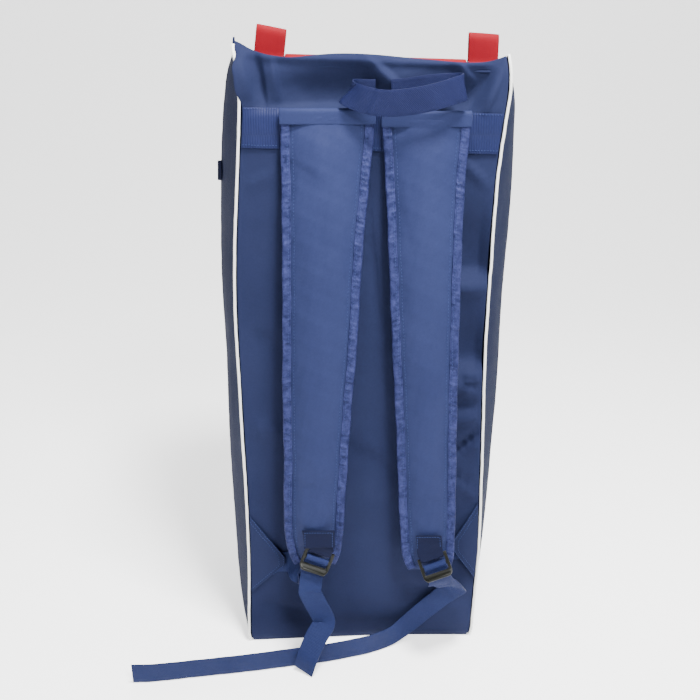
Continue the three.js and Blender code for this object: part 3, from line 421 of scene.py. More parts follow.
def cloth_material(name, colour, faded, pattern, scale, source="Object", bump=0.25, roughness=0.8,
                   turn=(0, 0, 0), wander=0.6, clouds=9.0):
    material, tree, shader = blank_material(name)
    shader["Specular IOR Level"].default_value = CLOTH_GLOSS
    coordinates = node(tree, "ShaderNodeTexCoord").outputs
    mapping = {"Vector": coordinates[source], "Rotation": turn}
    turned = node(tree, "ShaderNodeMapping", mapping).outputs[0]
    names = ("Threads",) if pattern is weave else ("Ribs", "Columns")
    woven = use(tree, pattern, {"Vector": turned, **dict(zip(names, scale))})
    used = use(tree, uneven, {
        "Vector": coordinates["Object"], "Colour": (*colour, 1), "Faded": (*faded, 1),
        "Amount": wander, "Gap shade": woven["Gap shade"], "Clouds": clouds,
    })
    tree.links.new(used["Colour"], shader["Base Color"])
    rough = ranged(tree, used["Wear"], 0.0, 1.0, roughness, roughness - 0.12)
    tree.links.new(rough, shader["Roughness"])
    crumple = noise(tree, coordinates["Object"], CRUMPLE_SCALE, 3.0)
    height = maths(tree, "MULTIPLY_ADD", crumple, 1.2, woven["Height"])
    relief = {"Strength": bump, "Distance": CLOTH_RELIEF, "Height": height}
    tree.links.new(node(tree, "ShaderNodeBump", relief).outputs[0], shader["Normal"])
    return material


# %% The palette: each cloth's colour, the colour it fades to, its pattern, and its threads to the metre
UPRIGHT, SIDEWAYS = (math.pi / 2, 0, 0), (0, math.pi / 2, 0)
CANVAS_THREADS, NYLON_THREADS, YARN_THREADS = (1100.0,), (1500.0,), (5000.0,)
WEBBING_RIBS, BAND_RIBS = (480.0, 700.0), (330.0, 30.0)
TAPE_RIBS, LOOP_RIBS = (900.0, 1200.0), (560.0, 700.0)
NAVY = (0.0088, 0.0118, 0.035), (0.0152, 0.0200, 0.054)
RED = (0.165, 0.0012, 0.003), (0.225, 0.004, 0.006)
materials = {
    "canvas_upright": cloth_material("navy_canvas_front", *NAVY, weave, CANVAS_THREADS, turn=UPRIGHT),
    # The side walls use the front's navy canvas painted darker: the darker colour is painted shade.
    "side_canvas_painted_shade": cloth_material("navy_side_canvas_painted_shade", (0.0034, 0.0060, 0.023), (0.0056, 0.0096, 0.036),
                                  weave, CANVAS_THREADS, turn=SIDEWAYS),
    "canvas_flat": cloth_material("navy_canvas_end", *NAVY, weave, CANVAS_THREADS),
    "pad": cloth_material("strap_nylon", (0.0134, 0.0180, 0.056), (0.0225, 0.0295, 0.084),
                          weave, NYLON_THREADS, turn=UPRIGHT, roughness=0.66, bump=0.22),
    "webbing": cloth_material("navy_webbing", (0.0084, 0.0132, 0.050), (0.0195, 0.0280, 0.094),
                              ribs, WEBBING_RIBS, source="UV", bump=0.8, roughness=0.55),
    "handle": cloth_material("handle_webbing", (0.0052, 0.0072, 0.030), (0.0120, 0.0150, 0.058),
                             ribs, WEBBING_RIBS, source="UV", bump=0.8, roughness=0.55),
    "band": cloth_material("band_webbing", (0.0074, 0.0105, 0.039), (0.0155, 0.0195, 0.068),
                           ribs, BAND_RIBS, source="UV", bump=0.9, roughness=0.58),
    "binding": cloth_material("binding_tape", (0.0050, 0.0074, 0.032), (0.034, 0.040, 0.128),
                              ribs, TAPE_RIBS, source="UV", bump=0.4, roughness=0.5,
                              wander=1.0, clouds=120.0),
    # The strap ends, the left patch and the side tab use the navy webbing painted much darker: painted
    # shade, not a different webbing.
    "patch": cloth_material("sewn_webbing_painted_shade", (0.0026, 0.0038, 0.0145), (0.0056, 0.0076, 0.027),
                            ribs, WEBBING_RIBS, source="UV", bump=0.8, roughness=0.6),
    "red": cloth_material("red_webbing", *RED, ribs, LOOP_RIBS, source="UV", bump=0.5, roughness=0.6),
    "red_cloth": cloth_material("red_cloth", *RED, weave, CANVAS_THREADS, bump=0.3, roughness=0.65),
    "thread": cloth_material("navy_thread", (0.018, 0.028, 0.09), (0.04, 0.055, 0.15),
                             weave, YARN_THREADS, bump=0.1, roughness=0.5),
}


def dress(piece, name):
    piece.data.materials.clear()
    piece.data.materials.append(materials[name])
    return piece


print("cloths:", ", ".join(materials))

# %% Smooth finishes: piping, moulded plastic, plated metal, floor
PLAIN_RELIEF = 0.0003


def plain_material(name, colour, roughness, metallic=0.0, scale=60.0, vary=0.15, bump=0.05, glow=0.0,
                   shine=0.5):
    material, tree, shader = blank_material(name)
    shader["Metallic"].default_value = metallic
    shader["Emission Color"].default_value = (1, 1, 1, 1)
    shader["Emission Strength"].default_value = glow
    shader["Specular IOR Level"].default_value = shine
    soft = noise(tree, node(tree, "ShaderNodeTexCoord").outputs["Object"], scale, 5.0)
    low = tuple(c * (1 - vary) for c in colour) + (1,)
    high = tuple(min(1, c * (1 + vary)) for c in colour) + (1,)
    tree.links.new(blended(tree, soft, low, high), shader["Base Color"])
    rough = ranged(tree, soft, 0.0, 1.0, roughness - 0.08, roughness + 0.08)
    tree.links.new(rough, shader["Roughness"])
    relief = {"Strength": bump, "Distance": PLAIN_RELIEF, "Height": soft}
    tree.links.new(node(tree, "ShaderNodeBump", relief).outputs[0], shader["Normal"])
    return material


materials["piping"] = plain_material("white_piping", (0.62, 0.62, 0.60), 0.5, scale=30.0, vary=0.06)
materials["plastic"] = plain_material("dark_moulded_plastic", (0.0045, 0.0048, 0.0034), 0.4, scale=900.0,
                                      bump=0.12, shine=0.16)
materials["metal"] = plain_material("plated_metal", (0.52, 0.52, 0.53), 0.3, metallic=1.0, scale=300.0)
materials["paper"] = plain_material("studio_paper", (0.9, 0.9, 0.9), 0.95, scale=3.0, vary=0.01, bump=0,
                                    glow=1.3)
dress(paper, "paper")

# %% [markdown]
# ## The walls
#
# The back panel isn't a flat board. Its cloth hangs between two piped seams, is drawn down by the
# straps, and creases where the bag was folded. The solid already has the main hollows. We add the
# folds to the copy: each row of a table is a crease from one point to another, with its width and
# depth, and a sharp side and a soft side.


# %% A crease from one point to another, with one sharp side
def crease(u, v, start, end, wide, deep, sharp=0.35):
    line = np.subtract(end, start)
    length = np.hypot(*line)
    along = ((u - start[0]) * line[0] + (v - start[1]) * line[1]) / length**2
    aside = ((u - start[0]) * line[1] - (v - start[1]) * line[0]) / length
    width = np.where(aside > 0, wide, wide * sharp)
    fade = np.clip(1 - (2 * np.clip(along, -0.35, 1.35) - 1) ** 2 / 2.2, 0, 1) ** 1.5
    inside = (along > -0.25) & (along < 1.25)
    return deep * np.exp(-((aside / width) ** 2)) * fade * inside


# %% Soft, slow waves, the same every time the lesson runs
def waves(u, v, scale, seed, layers=5):
    rng = np.random.default_rng(seed)
    total = np.zeros_like(u)
    for layer in range(layers):
        angle, phase = rng.uniform(0, 2 * math.pi, 2)
        rate = 2 * math.pi / scale * (1.35**layer)
        total += np.sin((u * math.cos(angle) + v * math.sin(angle)) * rate + phase) / (1 + 0.5 * layer)
    return total / 2.4


# %% The back panel's creases: from (x, z) to (x, z), width and depth, in millimetres
# A depth above 0 is a valley and one below 0 a ridge. The wide side is below a crease that runs to the
# right, and the other side is the sharp one.
BACK_FOLDS = [
    # the upper left corner's upright folds
    ((-140, 790), (-134, 744), 9, -3.6),
    ((-124, 788), (-118, 736), 8, 4.2),
    ((-108, 788), (-102, 742), 9, -3.2),
    # the hollow under the rim, and the hump to the right of it, which faces up
    ((22, 740), (-116, 736), 42, 8.2, 0.22),
    ((-112, 722), (22, 724), 8, -0.8),
    ((0, 790), (44, 752), 12, -4.6),
    ((110, 746), (36, 744), 24, 4.4),
    # the upper right corner's slanting fold
    ((104, 788), (128, 762), 9, -2.6),
    ((160, 784), (116, 722), 24, 7.5),
    ((168, 784), (146, 730), 10, -3.6),
    # beside the right strap: two hollows with sharp lower edges, and small folds below them
    ((122, 668), (152, 640), 8, -2.4),
    ((190, 539), (80, 533), 62, 10.5, 0.16),
    ((90, 512), (180, 516), 13, -3.6),
    ((190, 421), (80, 410), 52, 8.5, 0.2),
    ((90, 392), (180, 400), 12, -3.4),
    ((112, 402), (146, 384), 7, 3.2),
    ((114, 386), (152, 372), 8, -3.6),
    ((112, 352), (150, 362), 8, 3.2),
    ((112, 334), (150, 340), 9, -3.4),
    ((120, 286), (152, 316), 6, 5.5),
    ((132, 296), (156, 300), 6, -3.5),
    ((112, 262), (146, 238), 9, 3.0),
    ((124, 250), (154, 226), 10, -3.0),
    # the quieter left side and middle
    ((-146, 640), (-112, 655), 12, -1.6),
    ((-148, 330), (-108, 322), 16, -2.2),
    ((-148, 452), (-108, 444), 22, 1.6),
    ((8, 600), (22, 470), 9, 1.4),
    ((-20, 300), (44, 262), 22, 1.6),
    ((-146, 60), (-60, 44), 16, 1.6),
    ((60, 90), (146, 64), 16, 2.0),
]


# %% A slope from 0 to 1 over a length
def ramp(value, length):
    return np.clip(value / length, 0, 1)


# %% The bag has settled forwards at its lower left corner, and its upper left one is drawn out to an ear
SETTLED_BY, EAR_ASIDE, EAR_UP = 13, 6.5, 4.5


def settled(points):
    x, y, z = points.T * 1000
    share = ramp(30 - x, 180) * ramp(-y, 140) * np.clip(1 - z / 110, 0, 1) ** 1.5
    points[:, 1] -= SETTLED_BY * share / 1000
    ear = ramp(-112 - x, 40) * ramp(-100 - y, 35) * ramp(z - 766, 28)
    points[:, 0] -= EAR_ASIDE * ear / 1000
    points[:, 2] += EAR_UP * ear / 1000
    return points


# %% Press the folds in, roll the rim, and lay a fold over the left piping near the top
FOLD_STRENGTH, ROLLED_OUT, LAP_ASIDE, LAP_OUT = 1.7, 4.4, 9.5, 7.5


def back_folds(points):
    x, z = points[:, 0] * 1000, points[:, 2] * 1000
    push = FOLD_STRENGTH * sum(crease(x, z, *row) for row in BACK_FOLDS)
    push = push + 0.9 * waves(x, z, 95, 3) + 0.3 * waves(x, z, 34, 4)
    inner = ramp(161 - np.abs(x - 4), 20) * ramp(z, 25) * ramp(806 - z, 12)
    points[:, 1] += push * inner / 1000
    rim = 792 - 0.036 * (x + 100)
    roll = np.exp(-(((z - rim + 4) / 6) ** 2)) * ramp(150 - np.abs(x - 8), 20)
    points[:, 1] -= ROLLED_OUT * roll / 1000
    lap = ramp(-134 - x, 12) * np.exp(-(((z - 762) / 21) ** 4))
    points[:, 0] -= LAP_ASIDE * lap / 1000
    points[:, 1] -= LAP_OUT * lap / 1000
    points[:, 0] -= 5 * ramp(-140 - x, 10) * ramp(z - 788, 12) / 1000
    return settled(points)


# %% The back panel
back = cloth_copy("back_panel", "back_wall", 3)
move_points(back, back_folds(points_of(back)))
finished(dress(back, "canvas_upright"), "canvas", "back_panel")


# %% [markdown]
# The side walls bulge, and their cloth falls in long, shallow folds from the top. The front wall, on
# which the bag can lie, is plain. Both ends are flat sheets. One function gives them all their waves.


# %% The other walls: the two axes of each, its waves' height and upward stretch, and a seed
def wall(node_name, name, look, flat, push, tall, seed):
    piece = cloth_copy(node_name, name, 3)
    points = points_of(piece)
    u, v = (points[:, i] * 1000 for i in flat)
    outward = ({0, 1, 2} - set(flat)).pop()
    low, high = points.min(axis=0) * 1000, points.max(axis=0) * 1000
    inner = np.ones(len(points))
    for i, place in zip(flat, (u, v)):
        inner *= ramp(place - low[i], 30) * ramp(high[i] - place, 30)
    bulge = push * waves(u, v / tall, 150, seed, 3) + 0.2 * waves(u, v, 43, seed + 1)
    points[:, outward] += inner * bulge / 1000
    move_points(piece, settled(points))
    return finished(dress(piece, look), "canvas", node_name)


XY, XZ, YZ = (0, 1), (0, 2), (1, 2)
# The two side walls wear the navy canvas with its painted shade.
wall("gusset_left", "left_side_wall", "side_canvas_painted_shade", YZ, 2.4, 2.2, 11)
wall("gusset_right", "right_side_wall", "side_canvas_painted_shade", YZ, 2.4, 2.2, 12)
wall("front_panel", "front_wall", "canvas_upright", XZ, 2.2, 1.6, 13)
wall("base_panel", "base_wall", "canvas_flat", XY, 0.0, 1.0, 14)
wall("top_panel_back", "top_wall_back", "canvas_flat", XY, 0.8, 1.0, 15)
wall("top_panel_front", "top_wall_front", "canvas_flat", XY, 1.0, 1.0, 16)

# %% [markdown]
# ## Piping
#
# Each back seam is finished with a white cord in a skin of plastic. The solid is an eight-sided rod, so
# the copy only needs to become round and to waver a little, as sewn piping does.

# %% Piping: it wavers between its ends, and the left cord's top stays below the ear
CORD_FROM, CORD_TO, EAR_FROM = 12, 775, 784
for side, seed in zip(SIDES, (21, 22)):
    cord = cloth_copy(f"piping_{side}", f"seam_piping_{side}", 2)
    modified(cord, ("DISPLACE", {"strength": -0.0003, "mid_level": 0.0}))
    points = points_of(cord)
    z = points[:, 2] * 1000
    middle = (z > CORD_FROM) & (z < CORD_TO)
    points[middle, 0] += 0.0004 * waves(z, z * 0, 46, seed)[middle]
    if side == "left":
        points[:, 2] -= 0.42 * np.clip(z - EAR_FROM, 0, None) / 1000
    move_points(cord, settled(points))
    finished(dress(cord, "piping"), "piping", f"piping_{side}")

# %% [markdown]
# ## Webbing
#
# Webbing is a flat strip that bends easily one way and hardly the other. We start with a grid one unit
# square: its X is the way across the strip and its Y the way along. A route says where the middle of
# the strip goes and which way its width points there, and each point of the grid is carried to its
# place. The width is turned square to the strip's way, except between a buckle's bars, which hold it as
# they lie. The grid's own UV map keeps the ribs in step with the strip. Solidify then gives it its real
# thickness, and a small bevel its soft edges.


# %% A smooth curve through a table's rows
def through(rows, t):
    rows = np.asarray(rows, float)
    padded = np.vstack([2 * rows[0] - rows[1], rows, 2 * rows[-1] - rows[-2]])
    place = np.clip(t, 0, 1) * (len(rows) - 1)
    i = np.minimum(place.astype(int), len(rows) - 2)
    f = (place - i)[:, None]
    a, b, c, d = (padded[i + k] for k in range(4))
    square, cube = 2 * a - 5 * b + 4 * c - d, 3 * b - a - 3 * c + d
    return 0.5 * (2 * b + (c - a) * f + square * f**2 + cube * f**3)


# %% A strip along a route, in millimetres
# A section says how far aside and how far off its face each point lies. A grip is the direction of a
# buckle's bars, and how near to it the width of a row in the route has to be for the bars to hold it.
NEARBY = 2e-3
ROUNDED = 0.35


def strip(name, route, wide, look, thick=1.5, across=8, step=2.5, section=None, grip=None):
    rows = np.asarray(route, float)
    lengths = np.linalg.norm(np.diff(rows[:, :3], axis=0), axis=1)
    length = lengths.sum()
    piece = started(name, bpy.ops.mesh.primitive_grid_add, x_subdivisions=across,
                    y_subdivisions=int(length / step), size=1)
    grid = points_of(piece)
    along = np.clip(grid[:, 1] + 0.5, 0, 1)
    at = np.interp(along, np.r_[0, lengths.cumsum()] / length, np.linspace(0, 1, len(rows)))
    middle = through(rows[:, :3], at)
    ahead = through(rows[:, :3], at + NEARBY) - through(rows[:, :3], at - NEARBY)
    ahead /= np.linalg.norm(ahead, axis=1)[:, None]
    side = through(rows[:, 3:6], at)
    held = rows[:, 3:6] @ np.array(grip[0]) > grip[1] if grip else np.zeros(len(rows))
    loose = 1 - np.interp(at * (len(rows) - 1), range(len(rows)), held)
    side -= ahead * ((side * ahead).sum(axis=1) * loose)[:, None]
    side /= np.linalg.norm(side, axis=1)[:, None]
    face = np.cross(ahead, side)
    face /= np.linalg.norm(face, axis=1)[:, None]
    if section is None:
        aside, off = grid[:, 0] * wide, 0.25 * waves(grid[:, 0] * wide, along * length, 26, 7)
    else:
        aside, off = section(grid[:, 0], along * length)
    move_points(piece, (middle + side * aside[:, None] + face * off[:, None]) / 1000)
    layer = piece.data.uv_layers.active.data
    uv = np.empty(len(layer) * 2)
    layer.foreach_get("uv", uv)
    layer.foreach_set("uv", (uv.reshape(-1, 2) * (wide / 1000, length / 1000)).ravel())
    bevel = {"width": ROUNDED / 1000, "segments": 2, "limit_method": "ANGLE",
             "angle_limit": math.radians(60)}
    sheet = {"thickness": thick / 1000, "offset": 0.0, "use_even_offset": False}
    modified(piece, ("SOLIDIFY", sheet), ("BEVEL", bevel))
    bpy.ops.object.shade_smooth_by_angle(angle=math.radians(70))
    print(name, "is", round(length), "mm long")
    return dress(piece, look)


# %% Give a copied piece a UV map in metres, from two of its coordinates
def map_flat(piece, across, along):
    layer = piece.data.uv_layers.active or piece.data.uv_layers.new(name="flat")
    corners = np.empty(len(piece.data.loops), int)
    piece.data.loops.foreach_get("vertex_index", corners)
    points = points_of(piece)[corners]
    layer.data.foreach_set("uv", points[:, (across, along)].ravel())
    return piece


# %% [markdown]
# The band under the straps' tops is a wide strip sewn flat to the back panel, so its solid is copied and
# pressed by the same folds as the panel. Its ribs run up and down, as they do on the real one.

# %% The anchor band
band = cloth_copy("anchor_band", "strap_band", 3)
move_points(band, back_folds(points_of(band)))
map_flat(band, 2, 0)
finished(dress(band, "band"), "webbing", "anchor_band")

# %% [markdown]
# ## Shoulder straps
#
# A shoulder strap is foam between two layers of nylon. The two layers are sewn together at the edges
# and bound with folded tape, so the strap is thick in the middle and thin where the tape holds it.

# %% Blow a pad up a little with the cloth simulation, and hold every point near where it was
CLOTH_FRAMES, CLOTH_PRESSURE = 20, 4.0


def puffed(piece, held, cap):
    before = points_of(piece)
    pins = piece.vertex_groups.new(name="held")
    for index in np.flatnonzero(held):
        pins.add([int(index)], 1.0, "REPLACE")
    only(piece)
    bpy.ops.object.modifier_add(type="CLOTH")
    cloth = piece.modifiers[-1]
    cloth.settings.vertex_group_mass = "held"
    cloth.settings.use_pressure = True
    cloth.settings.uniform_pressure_force = CLOTH_PRESSURE
    cloth.settings.effector_weights.gravity = 0.0
    cloth.settings.quality = 4
    cloth.collision_settings.use_collision = False
    for number in range(1, CLOTH_FRAMES + 1):
        bpy.context.scene.frame_set(number)
    bpy.ops.object.modifier_apply(modifier=cloth.name)
    bpy.context.scene.frame_set(1)
    moved = points_of(piece) - before
    far = np.linalg.norm(moved, axis=1)
    moved *= (cap * np.tanh(far / cap) / np.maximum(far, 1e-9))[:, None]
    print(piece.name, "moved up to", round(float(np.linalg.norm(moved, axis=1).max() * 1000), 1), "mm")
    return move_points(piece, before + moved)


# %% Soft dents of the pads: under the turned-over tops, and where the straps have been bent
PAD_FOLDS = [
    ((-86, 713), (-12, 711), 18, 3.0),
    ((22, 708), (96, 706), 18, 3.0),
    ((-88, 668), (-46, 640), 24, 1.8),
    ((-30, 640), (-24, 520), 14, -1.2),
    ((38, 640), (56, 560), 20, 1.4),
    ((-92, 250), (-36, 262), 26, 1.2),
    ((60, 236), (104, 228), 26, 1.2),
]


# %% The pads
# The rim is what the tape and the ends' seams hold.
PAD_VOXEL, PUFF, RIM_WIDTH, END_WIDTH, REACH = 0.003, 0.003, 11, 8, 40


def edges_at(node_name, heights):
    points = points_of(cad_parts[node_name]) * 1000
    rows = [points[np.abs(points[:, 2] - h) < REACH] for h in heights]
    return np.array([(row[:, 0].min(), row[:, 0].max()) for row in rows])


for side in SIDES:
    node_name = f"strap_pad_{side}"
    pad = cloth_copy(node_name, f"shoulder_strap_{side}", 2, crease=0.7)
    modified(pad, ("REMESH", {"mode": "VOXEL", "voxel_size": PAD_VOXEL, "use_smooth_shade": True}))
    points = points_of(pad) * 1000
    heights = np.linspace(points[:, 2].min(), points[:, 2].max(), 24)
    edges = edges_at(node_name, heights)
    left, right = (np.interp(points[:, 2], heights, edges[:, i]) for i in (0, 1))
    rim = (points[:, 0] < left + RIM_WIDTH) | (points[:, 0] > right - RIM_WIDTH)
    rim |= (points[:, 2] > heights[-1] - END_WIDTH) | (points[:, 2] < heights[0] + END_WIDTH)
    puffed(pad, rim, PUFF)
    modified(pad, ("CORRECTIVE_SMOOTH", {"iterations": 6}),
             ("SUBSURF", {"levels": 1, "render_levels": 1}))
    points = points_of(pad)
    x, z = points[:, 0] * 1000, points[:, 2] * 1000
    dents = sum(crease(x, z, *row) for row in PAD_FOLDS)
    points[:, 1] += (dents + 0.8 * waves(x, z / 2.2, 70, 31) + 0.3 * waves(x, z, 26, 32)) / 1000
    move_points(pad, points)
    only(pad)
    bpy.ops.object.shade_smooth_by_angle(angle=math.radians(60))
    finished(dress(pad, "pad"), "pad", node_name)

# %% [markdown]
# The tape that binds the edges is folded round them, so its section is a U. Sewing puckers it: between
# the needle's holes it stands up in little slanting ridges, which catch the light. We take the tape's
# way from the rings of its solid, and carry a fine grid along it.


# %% The U section with its puckers
TAPE_WIDTH, HALF_FOLD, PUCKERS = 25.0, 2.6, 160


def folded_tape(sign, seed):
    rng = np.random.default_rng(seed)
    places = np.cumsum(rng.uniform(3.5, 9.0, PUCKERS))
    strengths = rng.uniform(0.1, 1.0, PUCKERS) ** 1.5

    def section(s, v):
        q = s * TAPE_WIDTH
        turn = np.clip(q / HALF_FOLD, -1, 1) * math.pi / 2
        aside = -np.maximum(np.abs(q) - HALF_FOLD, 0) + 0.8 * np.cos(turn)
        off = -HALF_FOLD * np.sin(turn)
        ridge = np.zeros_like(v)
        for place, strength in zip(places, strengths):
            ridge += strength * np.exp(-(((v - place - 0.25 * q) / 1.5) ** 2))
        aside = sign * (aside + 0.3 * np.sin(v / 11 + seed))
        return aside, off - np.sign(q) * 1.2 * ridge * (np.abs(q) > 2)

    return section


# %% The bound edges
def tape_route(node_name, sign):
    points = points_of(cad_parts[node_name]) * 1000
    points = np.unique(points.round(2), axis=0)
    points = points[np.argsort(-points[:, 2])]
    rings = points[: len(points) // 8 * 8].reshape(-1, 8, 3)
    tip = (rings[:, :, 0] * sign).max(axis=1) * sign
    heart = (rings.min(axis=1) + rings.max(axis=1)) / 2
    return [(a - sign * 0.9, h[1], h[2], 1, 0, 0) for a, h in zip(tip, heart)]


tapes = {}
for side in SIDES:
    for edge in ("outer", "inner"):
        node_name = f"binding_{edge}_{side}"
        sign = (-1 if edge == "outer" else 1) * (1 if side == "left" else -1)
        tape = strip(f"edge_tape_{edge}_{side}", tape_route(node_name, sign), TAPE_WIDTH, "binding",
                     thick=0.9, across=16, step=1.3, section=folded_tape(sign, len(tapes) + 3))
        tapes[side, edge] = tape, sign
        finished(tape, "binding", node_name)

# %% [markdown]
# At the top, a facing of the pad's own nylon is turned over the end, tapes and all. Its strip runs from
# one tape to the other, and its section curls back over the top.


# %% The facings
FACING_HEIGHT = 19


def turned_over(s, v):
    up = (s + 0.5) * FACING_HEIGHT
    over = ramp(up - 15, 4)
    return up - FACING_HEIGHT / 2 - 1.2 * over**2, -3.2 * over**2


for side in SIDES:
    corners = np.concatenate([points_of(tapes[side, edge][0]) for edge in ("outer", "inner")]) * 1000
    high = corners[corners[:, 2] > corners[:, 2].max() - 22]
    (x0, y0, _), (x1, _, z1) = high.min(axis=0), high.max(axis=0)
    centre, half = (x0 + x1) / 2, (x1 - x0 + 1.5) / 2
    route = [(centre + t * half, y0 - 0.9 + 1.5 * abs(t) ** 6, z1 - 7.5, 0.02 * t, 0, 1)
             for t in np.linspace(-1, 1, 13)]
    facing = strip(f"pad_facing_{side}", route, FACING_HEIGHT, "pad", thick=1.6, section=turned_over)
    finished(facing, "pad")
